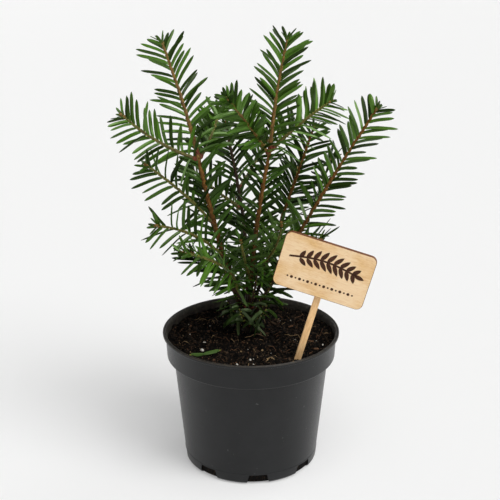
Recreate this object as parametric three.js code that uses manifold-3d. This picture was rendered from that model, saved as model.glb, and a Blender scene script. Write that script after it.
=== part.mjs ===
// English yew, a young bushy plant in a round nursery pot, with a blank wooden plant label.
// Millimetres. The origin is the centre of the pot's flat underside, +Z is up and -Y is the front.
// Every shoot grows by one rule: a stem that bends evenly, and needles in two ranks along it.

import * as THREE from "three";
import { mergeVertices } from "three/addons/utils/BufferGeometryUtils.js";
import Module from "manifold-3d";

const wasm = await Module();
wasm.setup();

// ---------------------------------------------------------------- driving dimensions

const GAP = 0.3; // between pieces that stand on, stand in or grow from each other

const POT_HEIGHT = 102;
const RIM_RADIUS = 65;
const LIP_THICKNESS = 1.8; // the rolled lip, up and down
const LIP_OVERHANG = 2.0; // how far the lip stands out of the collar
const COLLAR_HEIGHT = 18.6;
const COLLAR_DRAFT = 0.9; // the collar narrows this much on its way down
const COLLAR_STEP = 4.8; // from the collar's lower edge in to the body
const BASE_RADIUS = 49.2;
const FOOT_EDGE = 2.0; // the sloping edge round the foot, up and in
const WALL = 1.0;
const FLOOR = 1.4;
const NOTCHES = 8; // drainage notches round the foot
const NOTCH_WIDTH = 15;
const NOTCH_HEIGHT = 8;
const NOTCH_DEPTH = 5;
const FIRST_NOTCH = -84; // degrees, near the front
const POT_FACETS = 48;

const SOIL_AT_WALL = 95.5;
const SOIL_AT_TRUNK = 96.5;
const MOUND_FLAT = 19; // radius of the level top of the mound
const MOUND_FOOT = 44;

const LABEL_FOOT = [33.4, -36.7, 96]; // where the stick leaves the soil
const LABEL_LEAN = 15.3; // degrees, to the right
const LABEL_TILT = 2.4; // degrees, towards the front
const LABEL_TURN = -9; // degrees about the stick, its right edge towards the front
const STICK_WIDTH = 4.8;
const STICK_THICKNESS = 2.5;
const STICK_IN_SOIL = 36;
const STICK_LENGTH = 112;
const PLATE_WIDTH = 64.5;
const PLATE_HEIGHT = 40.4;
const PLATE_THICKNESS = 3;
const PLATE_CORNER = 4.6;
const PLATE_CENTRE = 70.7; // up the stick from the soil
const PLATE_SHIFT = -1.3; // across the stick

const TRUNK_FOOT = [-1.9, 8.9];
const TRUNK = { azimuth: -42, rise: 86, length: 14.5, lift: 0, swing: 0 };
const TRUNK_RADIUS = 3.6;
const FLARE = 1.7; // added to the radius at soil level
const FLARE_FADE = 5;
const FORK_RING = 3.4; // from the trunk's axis to the foot of each bough
const BOUGH = 18; // bare length of a leader, below its first needles
const TAPER = 0.48; // share of its radius that a stem loses on the way to its tip

const NEEDLE = 23.5; // length of a full-grown needle
const SHORT_NEEDLE = 19.5; // and of those on two close shoots in the crown's middle
const FOOT_NEEDLE = 16; // and of the drooping ones round the trunk's foot
const NEEDLE_WIDTH = 2.8;
const NEEDLE_THICKNESS = 0.6;
const WIDEST = 0.45; // share of its length where a needle is widest
const SPACING = 2.7; // between neighbours along the stem, both ranks counted
const FIRST_NEEDLE = 3;
const CURVE = 38; // degrees that a needle bends outward
const CURVE_FADE = 5; // how fast that bend fades away from its root
const SPREAD = 48; // degrees that a needle leans out of its rank at most
const OPEN_AT_FOOT = 30; // degrees more that the needles open at a shoot's foot
const CLOSE_AT_TIP = 14; // and less at its tip
const OPENING_PLAY = 18; // degrees by which neighbours differ in that
const ROLL_PLAY = 80; // and in how they are turned about their own length
const YOUNG = 13; // the needles grow shorter over this last stretch of a shoot
const YOUNG_SHARE = 0.2; // or over this share of a short one
const YOUNGEST = 0.5; // share of the full length that the last needle has
const SHORT_AT_FOOT = 0.2; // share of its length that a shoot's first needle lacks
const SHORTEST = 0.84; // the least and the most of its due length that a needle has
const LONGEST = 1.1;
const STEPS = 24; // steps of a stem's line
const NEEDLE_STEPS = 6;
const CLEARANCE = 0.15; // between needles of different shoots

// Leaders: name, side of the trunk, share up the trunk, azimuth, rise, length, lift, swing,
// foot radius, azimuth and rise of the side that its two ranks of needles face, needles' opening,
// spread and length.
const LEADERS = [
  ["left_leader", 198, 0.78, -150, 74, 132, 7, 15, 2.3, -95, 10, 57, SPREAD, NEEDLE],
  ["centre_leader", -90, 1.0, -23, 83, 127, -10, 0, 2.1, -85, 5, 55, SPREAD, NEEDLE],
  ["right_leader", -18, 0.78, 4, 61, 178, -6, -6, 1.6, -115, 12, 57, SPREAD, NEEDLE],
  ["right_back_leader", 54, 1.0, 29, 68, 143, 10, -54, 1.35, -100, 15, 60, SPREAD, NEEDLE],
  ["back_leader", 126, 1.0, 111, 69, 140, 8, 59, 1.6, -90, 5, 57, SPREAD, NEEDLE],
];

// Shoots: name, grows from, share along it, azimuth, rise, length, lift, swing, foot radius,
// azimuth and rise of the side that its needles face, needles' opening, spread and length.
const SHOOTS = [
  ["left_top", "left_leader", 1, 140, 67, 82, -1, 20, 1.4, -80, 5, 57, SPREAD, NEEDLE],
  ["left_outer", "left_leader", 0.99, -167, 33, 61, 23, 8, 1.15, -85, 15, 60, SPREAD, NEEDLE],
  ["left_inner", "left_leader", 0.99, 71, 32, 48, -5, 19, 1.1, -80, 25, 57, 80, SHORT_NEEDLE],
  ["left_middle", "left_leader", 0.6, -152, 45, 71, -14, 9, 1.05, -90, 25, 57, SPREAD, NEEDLE],
  ["left_lower", "left_leader", 0.4, -135, 32, 73, -30, -1, 1.05, -85, 15, 57, SPREAD, NEEDLE],
  ["left_low", "left_leader", 0.12, -122, 40, 87, -43, -66, 1.2, -60, 50, 60, 60, NEEDLE],
  ["left_behind", "left_leader", 0.45, 112, 36, 54, 10, 0, 1.0, 20, 50, 57, SPREAD, NEEDLE],
  ["centre_top", "centre_leader", 1, 31, 80, 77, -10, -1, 1.4, -95, 5, 55, SPREAD, NEEDLE],
  ["centre_right", "centre_leader", 1, 12, 38, 54, -7, -22, 1.2, -100, 10, 60, SPREAD, NEEDLE],
  ["centre_left", "centre_leader", 0.98, -139, 50, 58, -8, 2, 1.2, -85, 10, 54, 85, SHORT_NEEDLE],
  ["front_left", "centre_leader", 0.22, -100, 47, 59, 2, 10, 1.0, 90, 70, 62, 80, NEEDLE],
  ["front_right", "centre_leader", 0.28, -59, 50, 59, 31, -40, 1.0, 90, 70, 62, 80, NEEDLE],
  ["right_front", "right_leader", 0.34, -38, 24, 26, 8, 0, 0.9, -80, 50, 57, SPREAD, NEEDLE],
  ["right_behind", "right_leader", 0.5, 66, 38, 50, 8, 0, 1.0, 160, 50, 57, SPREAD, NEEDLE],
  ["right_back_outer", "right_back_leader", 0.5, 72, 34, 50, 10, 0, 1.0, 0, 60, 57, SPREAD, NEEDLE],
  ["right_back_low", "right_back_leader", 0.13, 42, 24, 54, 14, 0, 1.0, -60, 70, 57, SPREAD, NEEDLE],
  ["back_outer", "back_leader", 0.34, 100, 26, 58, 16, 0, 1.05, 10, 70, 57, SPREAD, NEEDLE],
  ["back_left", "back_leader", 0.55, 168, 36, 46, 8, 0, 1.0, -90, 50, 57, SPREAD, NEEDLE],
  ["back_right", "back_leader", 0.66, 52, 40, 46, 8, 0, 1.0, -90, 50, 57, SPREAD, NEEDLE],
  ["back_low", "back_leader", 0.12, 150, 22, 52, 18, 0, 1.0, -60, 75, 57, SPREAD, NEEDLE],
  ["low_left", "trunk", 1, -136, 60, 52, 10, 0, 1.0, -110, 10, 68, 85, NEEDLE],
  ["low_front", "trunk", 1, -78, 57, 50, 10, 0, 1.0, -90, 10, 68, 85, NEEDLE],
  ["low_right", "trunk", 0.94, -24, 58, 46, 10, 0, 1.0, -70, 10, 68, 85, NEEDLE],
  ["base_left", "trunk", 0.39, 170, 50, 27, 30, 0, 0.9, 175, -5, 100, 88, FOOT_NEEDLE],
  ["base_front", "trunk", 0.34, -108, 46, 30, 30, 0, 0.9, -115, -5, 104, 88, FOOT_NEEDLE],
  ["base_right", "trunk", 0.39, -50, 46, 30, 30, 0, 0.9, -65, -5, 104, 88, FOOT_NEEDLE],
  ["base_side", "trunk", 0.39, 18, 50, 27, 30, 0, 0.9, 10, -5, 100, 88, FOOT_NEEDLE],
  ["base_back", "trunk", 0.39, 90, 50, 27, 30, 0, 0.9, 90, -5, 100, 88, FOOT_NEEDLE],
  ["foot_front", "trunk", 0.24, -80, 36, 18, 20, 0, 0.8, -95, 20, 85, 88, FOOT_NEEDLE],
  ["foot_left", "trunk", 0.3, -150, 48, 20, 0, 0, 0.8, -120, 20, 75, 70, FOOT_NEEDLE],
];

// ---------------------------------------------------------------- solids

// A closed geometry becomes a solid that can be cut and joined.
function solidOf(geometry) {
  const bare = geometry.clone();
  bare.deleteAttribute("normal");
  bare.deleteAttribute("uv");
  const merged = mergeVertices(bare, 1e-4);
  return new wasm.Manifold(new wasm.Mesh({
    numProp: 3,
    vertProperties: new Float32Array(merged.getAttribute("position").array),
    triVerts: new Uint32Array(merged.getIndex().array),
  }));
}

function geometryOf(solid) {
  const { numProp, vertProperties, triVerts } = solid.getMesh();
  const position = new Float32Array((vertProperties.length / numProp) * 3);
  for (let i = 0; i < position.length / 3; i++) {
    for (let k = 0; k < 3; k++) position[3 * i + k] = vertProperties[numProp * i + k];
  }
  const geometry = new THREE.BufferGeometry();
  geometry.setAttribute("position", new THREE.BufferAttribute(position, 3));
  geometry.setIndex(new THREE.BufferAttribute(new Uint32Array(triVerts), 1));
  geometry.computeVertexNormals();
  return geometry;
}

// The largest body of a solid: scraps are dropped and sealed hollows are filled.
function mainBody(solid) {
  const bodies = solid.decompose();
  return bodies.reduce((best, body) => (body.volume() > best.volume() ? body : best));
}

function boxesMeet(a, b, margin) {
  return a.min.every((low, k) => low - margin <= b.max[k] && b.min[k] - margin <= a.max[k]);
}

function meshOf(name, geometry, color, roughness) {
  const material = new THREE.MeshStandardMaterial({ color, roughness, metalness: 0 });
  const mesh = new THREE.Mesh(geometry, material);
  mesh.name = name;
  return mesh;
}

// ---------------------------------------------------------------- the rule that every shoot grows by

const radians = THREE.MathUtils.degToRad;

// Numbers from 0 to 1 that come in the same order for the same seed.
function randomFrom(seed) {
  let state = seed >>> 0;
  return () => {
    state = (state + 0x6d2b79f5) >>> 0;
    let mixed = Math.imul(state ^ (state >>> 15), 1 | state) >>> 0;
    mixed = ((mixed + Math.imul(mixed ^ (mixed >>> 7), 61 | mixed)) ^ mixed) >>> 0;
    return ((mixed ^ (mixed >>> 14)) >>> 0) / 4294967296;
  };
}

// Azimuth is counted from +X towards +Y, and rise from level, both in degrees.
function direction(azimuth, rise) {
  const level = Math.cos(radians(rise));
  return new THREE.Vector3(
    Math.cos(radians(azimuth)) * level, Math.sin(radians(azimuth)) * level, Math.sin(radians(rise)));
}

// A stem's line: it rises by lift and turns by swing, evenly, from its foot to its tip.
function stemLine(start, { azimuth, rise, length, lift, swing }) {
  const points = [start.clone()];
  for (let i = 0; i < STEPS; i++) {
    const t = (i + 0.5) / STEPS - 0.5;
    const step = direction(azimuth + swing * t, rise + lift * t).multiplyScalar(length / STEPS);
    points.push(points[i].clone().add(step));
  }
  return points;
}

// The point and the direction at a share of a line of points.
function along(points, share) {
  const last = points.length - 1;
  const place = THREE.MathUtils.clamp(share, 0, 1) * last;
  const i = Math.min(Math.floor(place), last - 1);
  const ahead = points[i + 1].clone().sub(points[i]);
  const point = points[i].clone().addScaledVector(ahead, place - i);
  return { point, ahead: ahead.normalize() };
}

// The side of a stem that its needles face, squared to the stem, and the way across it.
function sidesOf(ahead, face) {
  const upper = face.clone().addScaledVector(ahead, -face.dot(ahead)).normalize();
  return { upper, across: ahead.clone().cross(upper) };
}

// The needles of one shoot, from its foot to its tip, in two ranks by turns.
function needlesOf(shoot, seed) {
  const draw = randomFrom(seed);
  const needles = [];
  let place = shoot.bare + FIRST_NEEDLE;
  let side = 1;
  while (place < shoot.length) {
    const { point, ahead } = along(shoot.line, place / shoot.length);
    const { upper, across } = sidesOf(ahead, shoot.face);
    const age = (shoot.length - place) / (shoot.length - shoot.bare); // 1 at the foot, 0 at the tip
    const grown = Math.min(1, (shoot.length - place) / Math.min(YOUNG, YOUNG_SHARE * shoot.length));
    const lean = radians((draw() + draw() - 1) * shoot.spread);
    const opening = radians(shoot.opening + OPEN_AT_FOOT * age ** 4 - CLOSE_AT_TIP * (1 - grown)
      + (draw() - 0.5) * OPENING_PLAY);
    const due = shoot.needle * (YOUNGEST + (1 - YOUNGEST) * grown) * (1 - SHORT_AT_FOOT * age ** 6);
    const size = due * (SHORTEST + (LONGEST - SHORTEST) * draw());
    const roll = radians((draw() - 0.5) * ROLL_PLAY);
    const outward = across.clone().multiplyScalar(side * Math.cos(lean));
    outward.addScaledVector(upper, Math.sin(lean));
    needles.push({ line: needleLine(point, ahead, outward, opening, size), upper, roll, size });
    place += SPACING * (0.7 + 0.6 * draw());
    side = -side;
  }
  return needles;
}

// A needle leaves its stem at a small angle and bends outward.
function needleLine(root, ahead, outward, opening, size) {
  const points = [root.clone()];
  for (let k = 0; k < NEEDLE_STEPS; k++) {
    const angle = opening - radians(CURVE) * (1 - (k + 0.5) / NEEDLE_STEPS) ** CURVE_FADE;
    const step = ahead.clone().multiplyScalar(Math.cos(angle));
    step.addScaledVector(outward, Math.sin(angle)).multiplyScalar(size / NEEDLE_STEPS);
    points.push(points[k].clone().add(step));
  }
  return points;
}

// ---------------------------------------------------------------- limbs and needles as solids

// A geometry of unit height, its own axis along Y, laid along a line by place(share, x, z).
function laid(geometry, place) {
  const position = geometry.getAttribute("position");
  for (let i = 0; i < position.count; i++) {
    const spot = place(position.getY(i) + 0.5, position.getX(i), position.getZ(i));
    position.setXYZ(i, spot.x, spot.y, spot.z);
  }
  return geometry;
}

// A tapering limb between two places along a shoot, made thicker all round by extra.
function limbSolid(shoot, from, to, sides, steps, extra = 0) {
  const blank = new THREE.CylinderGeometry(1, 1, 1, sides, steps);
  return solidOf(laid(blank, (share, x, z) => {
    const place = from + (to - from) * share;
    const { point, ahead } = along(shoot.line, place / shoot.length);
    const { upper, across } = sidesOf(ahead, shoot.face);
    const radius = shoot.radius * (1 - TAPER * (place / shoot.length)) + extra;
    return point.addScaledVector(across, x * radius).addScaledVector(upper, z * radius);
  }));
}

// The trunk keeps level cross-sections, so its foot is a flat cut on the soil.
function trunkSolid(line, sides, extra = 0) {
  const blank = new THREE.CylinderGeometry(1, 1, 1, sides, 6);
  return solidOf(laid(blank, (share, x, z) => {
    const radius = TRUNK_RADIUS + FLARE * Math.exp(-FLARE_FADE * share) + extra;
    const { point } = along(line, share);
    return new THREE.Vector3(point.x + x * radius, point.y - z * radius, point.z);
  }));
}

// A needle: a three-sided blade, flat above and keeled below, pointed at both ends.
function needleSolid({ line, upper, roll }, cut) {
  const last = along(line, cut).point;
  const axis = last.clone().sub(line[0]).normalize();
  const level = upper.clone().cross(axis).normalize();
  const over = axis.clone().cross(level);
  const across = level.clone().multiplyScalar(Math.cos(roll)).addScaledVector(over, Math.sin(roll));
  const below = across.clone().cross(axis);
  const rings = [[0, 0], [WIDEST, 1], [1, 0]]; // place along the needle, share of its full width
  const corner = Math.sin(Math.PI / 3);
  return solidOf(laid(new THREE.ConeGeometry(1, 1, 3, 2), (share, x, z) => {
    const [place, fullness] = rings[Math.round(share * 2)];
    const shrink = Math.max(1 - share, 1e-6);
    const sideways = (x / shrink / corner) * (NEEDLE_WIDTH / 2) * fullness;
    const down = ((z / shrink + 0.5) / 1.5) * NEEDLE_THICKNESS * fullness;
    const { point } = along(line, place * cut);
    return point.addScaledVector(across, sideways).addScaledVector(below, down);
  }));
}

// ---------------------------------------------------------------- the pot, the soil and the label

const collarFoot = POT_HEIGHT - COLLAR_HEIGHT;
const collarRadius = RIM_RADIUS - LIP_OVERHANG;
const collarFootRadius = collarRadius - COLLAR_DRAFT;
const bodyRadius = collarFootRadius - COLLAR_STEP;
const shoulder = collarFoot - 1.2; // the body's top, under the collar's sloping edge

// A closed profile of [radius, height] points turned about Z.
function turned(profile) {
  const points = profile.map(([radius, height]) => new THREE.Vector2(radius, height));
  const geometry = new THREE.LatheGeometry(points, POT_FACETS);
  return geometry.rotateX(Math.PI / 2);
}

function wallRadius(height) {
  return BASE_RADIUS + (bodyRadius - BASE_RADIUS) * (height / shoulder);
}

function potSolid() {
  const lipFoot = POT_HEIGHT - LIP_THICKNESS;
  let pot = solidOf(turned([
    [0, 0], [BASE_RADIUS - FOOT_EDGE, 0], [wallRadius(FOOT_EDGE), FOOT_EDGE],
    [bodyRadius, shoulder], [collarFootRadius, collarFoot],
    [collarRadius, lipFoot], [RIM_RADIUS - 0.3, lipFoot],
    [RIM_RADIUS, POT_HEIGHT - LIP_THICKNESS / 2], [RIM_RADIUS - 0.5, POT_HEIGHT],
    [collarRadius - 0.4, POT_HEIGHT], [collarRadius - WALL, lipFoot - 0.6],
    [collarFootRadius - WALL, collarFoot + WALL], [bodyRadius - WALL, shoulder],
    [wallRadius(FLOOR) - WALL, FLOOR], [0, FLOOR],
  ]));
  for (let i = 0; i < NOTCHES; i++) {
    const reach = NOTCH_DEPTH + 3;
    const notch = new THREE.BoxGeometry(reach, NOTCH_WIDTH, NOTCH_HEIGHT + 2);
    notch.translate(BASE_RADIUS - NOTCH_DEPTH + reach / 2, 0, NOTCH_HEIGHT / 2 - 1);
    notch.rotateZ(radians(FIRST_NOTCH + (i * 360) / NOTCHES));
    pot = pot.subtract(solidOf(notch));
  }
  return pot;
}

function soilSolid(stick) {
  const inner = (height) => wallRadius(height) - WALL - GAP;
  const widening = COLLAR_DRAFT * ((SOIL_AT_WALL - collarFoot) / COLLAR_HEIGHT);
  const atWall = collarFootRadius + widening - WALL - GAP;
  const soil = solidOf(turned([
    [0, FLOOR + GAP], [inner(FLOOR + GAP), FLOOR + GAP], [inner(shoulder), shoulder],
    [collarFootRadius - WALL - GAP, collarFoot + WALL + GAP],
    [atWall, SOIL_AT_WALL], [MOUND_FOOT, SOIL_AT_WALL],
    [MOUND_FLAT, SOIL_AT_TRUNK], [0, SOIL_AT_TRUNK],
  ]));
  return soil.subtract(stick);
}

function roundedPlate() {
  const [w, h, r] = [PLATE_WIDTH / 2, PLATE_HEIGHT / 2, PLATE_CORNER];
  const shape = new THREE.Shape();
  shape.absarc(w - r, -h + r, r, -Math.PI / 2, 0);
  shape.absarc(w - r, h - r, r, 0, Math.PI / 2);
  shape.absarc(-w + r, h - r, r, Math.PI / 2, Math.PI);
  shape.absarc(-w + r, -h + r, r, Math.PI, 1.5 * Math.PI);
  const plate = new THREE.ExtrudeGeometry(shape, {
    depth: PLATE_THICKNESS, bevelEnabled: false, curveSegments: 5,
  });
  return plate.rotateX(Math.PI / 2); // it stands up, and its front is at -Y
}

// The stick, made larger all round by extra, in the label's own frame with the soil at height 0.
function stickGeometry(extra = 0) {
  const box = new THREE.BoxGeometry(
    STICK_WIDTH + 2 * extra, STICK_THICKNESS + 2 * extra, STICK_LENGTH + 2 * extra);
  return box.translate(0, 0, STICK_LENGTH / 2 - STICK_IN_SOIL);
}

const label = new THREE.Group();
label.position.set(...LABEL_FOOT);
label.rotation.set(radians(LABEL_TILT), radians(LABEL_LEAN), radians(LABEL_TURN), "YXZ");
label.updateMatrixWorld(true);

const plate = meshOf("label_plate", roundedPlate(), 0xe0c7a8, 0.7);
plate.position.set(PLATE_SHIFT, -STICK_THICKNESS / 2 - GAP, PLATE_CENTRE);
const stick = meshOf("label_stick", stickGeometry(), 0xcaad85, 0.75);
label.add(plate, stick);
label.updateMatrixWorld(true);

const worldSolid = (mesh) => solidOf(mesh.geometry.clone().applyMatrix4(mesh.matrixWorld));
const potBody = potSolid();
const soilBody = soilSolid(solidOf(stickGeometry(GAP).applyMatrix4(label.matrixWorld)));

// ---------------------------------------------------------------- the plant's stems

const trunkStart = new THREE.Vector3(...TRUNK_FOOT, SOIL_AT_TRUNK + GAP);
const trunkLine = stemLine(trunkStart, TRUNK);
const shoots = new Map();

function addShoot(name, start, numbers, bare) {
  const [azimuth, rise, length, lift, swing, radius, ...ranks] = numbers;
  const [faceAzimuth, faceRise, opening, spread, needle] = ranks;
  const line = stemLine(start, { azimuth, rise, length, lift, swing });
  const face = direction(faceAzimuth, faceRise);
  shoots.set(name, { name, line, length, radius, face, opening, spread, needle, bare });
}

for (const [name, side, share, ...numbers] of LEADERS) {
  const foot = along(trunkLine, share).point.addScaledVector(direction(side, 0), FORK_RING);
  addShoot(name, foot, numbers, BOUGH);
}
for (const [name, parent, share, ...numbers] of SHOOTS) {
  const line = parent === "trunk" ? trunkLine : shoots.get(parent).line;
  addShoot(name, along(line, share).point, numbers, 0);
}

// Stems in the order that they are cut clear of each other: the trunk, the boughs, the shoots.
const stems = [{ name: "trunk", solid: trunkSolid(trunkLine, 12), wide: trunkSolid(trunkLine, 12, GAP) }];

function addStem(name, shoot, from, to, sides, steps) {
  const room = GAP / Math.cos(Math.PI / sides); // so that the flats are clear as well
  let solid = limbSolid(shoot, from, to, sides, steps);
  const wide = limbSolid(shoot, Math.max(0, from - room), to + room, sides, steps, room);
  for (const other of stems) {
    if (boxesMeet(solid.boundingBox(), other.wide.boundingBox(), 0)) solid = solid.subtract(other.wide);
  }
  stems.push({ name, solid: mainBody(solid), wide });
}

for (const shoot of shoots.values()) {
  if (shoot.bare > 0) addStem(shoot.name.replace("leader", "bough"), shoot, 0, shoot.bare, 8, 4);
}
for (const shoot of shoots.values()) {
  const leader = shoot.bare > 0;
  const from = leader ? shoot.bare + GAP : 0;
  addStem(shoot.name, shoot, from, shoot.length, leader ? 5 : 3, leader ? 9 : 6);
}

// ---------------------------------------------------------------- the plant's needles

const standing = [...stems.map(({ name, solid }) => ({ name, solid, box: solid.boundingBox() }))];
for (const [name, solid] of [["pot", potBody], ["soil", soilBody],
  ["plate", worldSolid(plate)], ["stick", worldSolid(stick)]]) {
  standing.push({ name, solid, box: solid.boundingBox() });
}

function isClear(name, solid, box) {
  return standing.every((other) => other.name === name || !boxesMeet(box, other.box, CLEARANCE)
    || solid.minGap(other.solid, 2 * CLEARANCE) > CLEARANCE);
}

// A needle that would touch another shoot or limb is tried shorter, and then left out.
function needlesThatFit(shoot, seed) {
  const fitting = [];
  for (const needle of needlesOf(shoot, seed)) {
    for (const cut of [1, 0.82, 0.64]) {
      const solid = needleSolid(needle, cut);
      const box = solid.boundingBox();
      if (isClear(shoot.name, solid, box)) {
        fitting.push(solid);
        standing.push({ name: shoot.name, solid, box });
        break;
      }
    }
  }
  return fitting;
}

const plant = new THREE.Group();
const SPRAY_COLOURS = [0x2f5c35, 0x2a5230, 0x366639];
const stemNamed = new Map(stems.map((stem) => [stem.name, stem.solid]));
let order = 0;
for (const shoot of shoots.values()) {
  const needles = needlesThatFit(shoot, 1000 + 17 * order);
  const spray = mainBody(wasm.Manifold.union([stemNamed.get(shoot.name), ...needles]));
  const colour = SPRAY_COLOURS[order % SPRAY_COLOURS.length];
  plant.add(meshOf(`spray_${shoot.name}`, geometryOf(spray), colour, 0.5));
  stemNamed.delete(shoot.name);
  order += 1;
}
for (const [name, solid] of stemNamed) {
  plant.add(meshOf(name, geometryOf(solid), 0x6b4530, 0.85));
}

// ---------------------------------------------------------------- the whole part

const part = new THREE.Group();
part.name = "english_yew";
part.add(
  meshOf("pot", geometryOf(potBody), 0x2c2e31, 0.55),
  meshOf("soil", geometryOf(soilBody), 0x2b221c, 0.95),
  label,
  plant,
);

export default part;
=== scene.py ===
"""A young English yew in its nursery pot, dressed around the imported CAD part.

Lengths are in millimetres until a mesh is made, when mesh() turns them into metres; shader values
are in metres. Every shoot grows by the rule of the part's source: a stem that bends evenly, and
needles in two ranks along it. The tables of leaders and shoots are the same as there. Here the
needles stand closer together, with a rib above and a narrow foot, and buds, scales and ridges are
added to the stems.
"""
import math

import bpy
import numpy as np
from mathutils import Matrix, Vector, noise


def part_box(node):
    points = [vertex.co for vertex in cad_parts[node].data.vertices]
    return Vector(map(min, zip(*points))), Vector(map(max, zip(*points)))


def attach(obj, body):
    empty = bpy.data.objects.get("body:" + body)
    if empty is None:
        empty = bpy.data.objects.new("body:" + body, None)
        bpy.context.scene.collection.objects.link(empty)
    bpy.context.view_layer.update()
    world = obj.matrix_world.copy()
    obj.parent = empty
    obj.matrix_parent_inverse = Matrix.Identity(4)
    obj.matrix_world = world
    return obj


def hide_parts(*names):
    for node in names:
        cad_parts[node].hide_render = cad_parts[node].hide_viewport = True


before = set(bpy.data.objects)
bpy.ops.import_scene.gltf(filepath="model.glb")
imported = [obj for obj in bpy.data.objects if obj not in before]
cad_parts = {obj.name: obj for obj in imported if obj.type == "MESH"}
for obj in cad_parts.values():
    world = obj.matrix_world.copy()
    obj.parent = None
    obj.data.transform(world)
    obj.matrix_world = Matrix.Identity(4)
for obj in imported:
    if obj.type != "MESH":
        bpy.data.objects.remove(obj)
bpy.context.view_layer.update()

MM = 0.001
ROOT = "root"
UP = np.array([0.0, 0.0, 1.0])
GAP = 0.3  # between solids that would otherwise touch


# ------------ small helpers

def unit(v):
    v = np.asarray(v, float)
    return v / np.maximum(np.linalg.norm(v, axis=-1, keepdims=True), 1e-12)


def random_from(seed):
    """Numbers from low to high that come in the same order for the same seed."""
    mask = 0xFFFFFFFF
    state = seed & mask

    def draw(low=0.0, high=1.0):
        nonlocal state
        state = (state + 0x6D2B79F5) & mask
        mixed = ((state ^ (state >> 15)) * (1 | state)) & mask
        mixed = ((mixed + (((mixed ^ (mixed >> 7)) * (61 | mixed)) & mask)) ^ mixed) & mask
        return low + (high - low) * ((mixed ^ (mixed >> 14)) & mask) / 4294967296
    return draw


def direction(azimuth, rise):
    """Azimuth is counted from +X towards +Y, and rise from level, both in degrees."""
    a, r = math.radians(azimuth), math.radians(rise)
    return np.array([math.cos(a) * math.cos(r), math.sin(a) * math.cos(r), math.sin(r)])


def turned_from(first, second, angle):
    """The first direction turned by an angle towards the second, which stands square to it."""
    return first * math.cos(angle) + second * math.sin(angle)


def circle(count):
    """The cosine and sine of turns spread evenly once round."""
    turns = [2 * math.pi * i / count for i in range(count)]
    return [(math.cos(a), math.sin(a)) for a in turns]


def mesh(name, points, faces, materials, slots=0, smooth=True, matrix=Matrix()):
    """A mesh object from points in millimetres; slots is one number or one for each face."""
    data = bpy.data.meshes.new(name)
    data.from_pydata((np.asarray(points, float) * MM).tolist(), [], [list(f) for f in faces])
    for material in materials:
        data.materials.append(material)
    data.polygons.foreach_set("material_index", np.full(len(data.polygons), slots, np.int32))
    data.polygons.foreach_set("use_smooth", np.full(len(data.polygons), smooth))
    data.update()
    obj = bpy.data.objects.new(name, data)
    bpy.context.scene.collection.objects.link(obj)
    obj.matrix_world = matrix
    return obj


def join(name, parts, materials, crease=None, **settings):
    """One mesh of several (points, faces, slots). Edges bent by more than the crease are sharp."""
    points, faces, slots, offset = [], [], [], 0
    for part_points, part_faces, part_slots in parts:
        points.append(np.asarray(part_points))
        faces += [tuple(i + offset for i in f) for f in part_faces]
        slots += [part_slots] * len(part_faces) if isinstance(part_slots, int) else part_slots
        offset += len(part_points)
    obj = mesh(name, np.vstack(points), faces, materials, slots, **settings)
    if crease:
        obj.data.set_sharp_from_angle(angle=math.radians(crease))
    return obj


def dress(obj, slot, *nodes):
    """The object rides on the part's one body and stands for the given nodes."""
    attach(obj, ROOT)
    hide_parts(*nodes)


def ring_faces(rings, sides, close_end=True):
    """Quads between rings of points, and a face over each end."""
    faces = []
    for r in range(rings - 1):
        for s in range(sides):
            n = (s + 1) % sides
            faces.append((r * sides + s, r * sides + n, (r + 1) * sides + n, (r + 1) * sides + s))
    faces.append(tuple(range(sides - 1, -1, -1)))
    if close_end:
        faces.append(tuple((rings - 1) * sides + s for s in range(sides)))
    return faces


def band(first, second):
    """Quads between two closed rows of point numbers."""
    faces = []
    for k in range(len(first)):
        n = (k + 1) % len(first)
        faces.append((first[k], second[k], second[n], first[n]))
    return faces


def grid_corners(rows, columns):
    """The first point of each cell of a grid, counted row by row."""
    return [i * columns + j for i in range(rows - 1) for j in range(columns - 1)]


def grid_rim(rows, columns):
    """The points round a grid."""
    rim = list(range(columns)) + [i * columns + columns - 1 for i in range(1, rows)]
    rim += [(rows - 1) * columns + j for j in range(columns - 2, -1, -1)]
    return rim + [i * columns for i in range(rows - 2, 0, -1)]


def sheet_faces(rows, columns):
    """A thin sheet's faces: a grid of points, the same grid again behind it, and their rim."""
    count = rows * columns
    faces = []
    for a in grid_corners(rows, columns):
        b = a + columns
        faces.append((a, a + 1, b + 1, b))
        faces.append((count + a, count + b, count + b + 1, count + a + 1))
    rim = grid_rim(rows, columns)
    return faces + band(rim, [count + i for i in rim])


def tube(line, radii, sides, slot=0):
    """A closed tube round a line of points, with a radius for each point."""
    points = []
    for i, centre in enumerate(line):
        ahead = unit(line[min(i + 1, len(line) - 1)] - line[max(i - 1, 0)])
        side = unit(np.cross(ahead, UP + np.array([0.31, 0.17, 0])))
        other = np.cross(ahead, side)
        points += [centre + (side * c + other * s) * radii[i] for c, s in circle(sides)]
    return points, ring_faces(len(line), sides), slot


def apply_modifiers(obj):
    graph = bpy.context.evaluated_depsgraph_get()
    data = bpy.data.meshes.new_from_object(obj.evaluated_get(graph))
    obj.modifiers.clear()
    obj.data = data


# ------------ materials

def new_material(name, color, roughness, specular=0.5):
    material = bpy.data.materials.new(name)
    material.use_nodes = True
    shader = material.node_tree.nodes["Principled BSDF"]
    shader.inputs["Base Color"].default_value = (*color, 1)
    shader.inputs["Roughness"].default_value = roughness
    shader.inputs["Specular IOR Level"].default_value = specular
    return material


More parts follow.
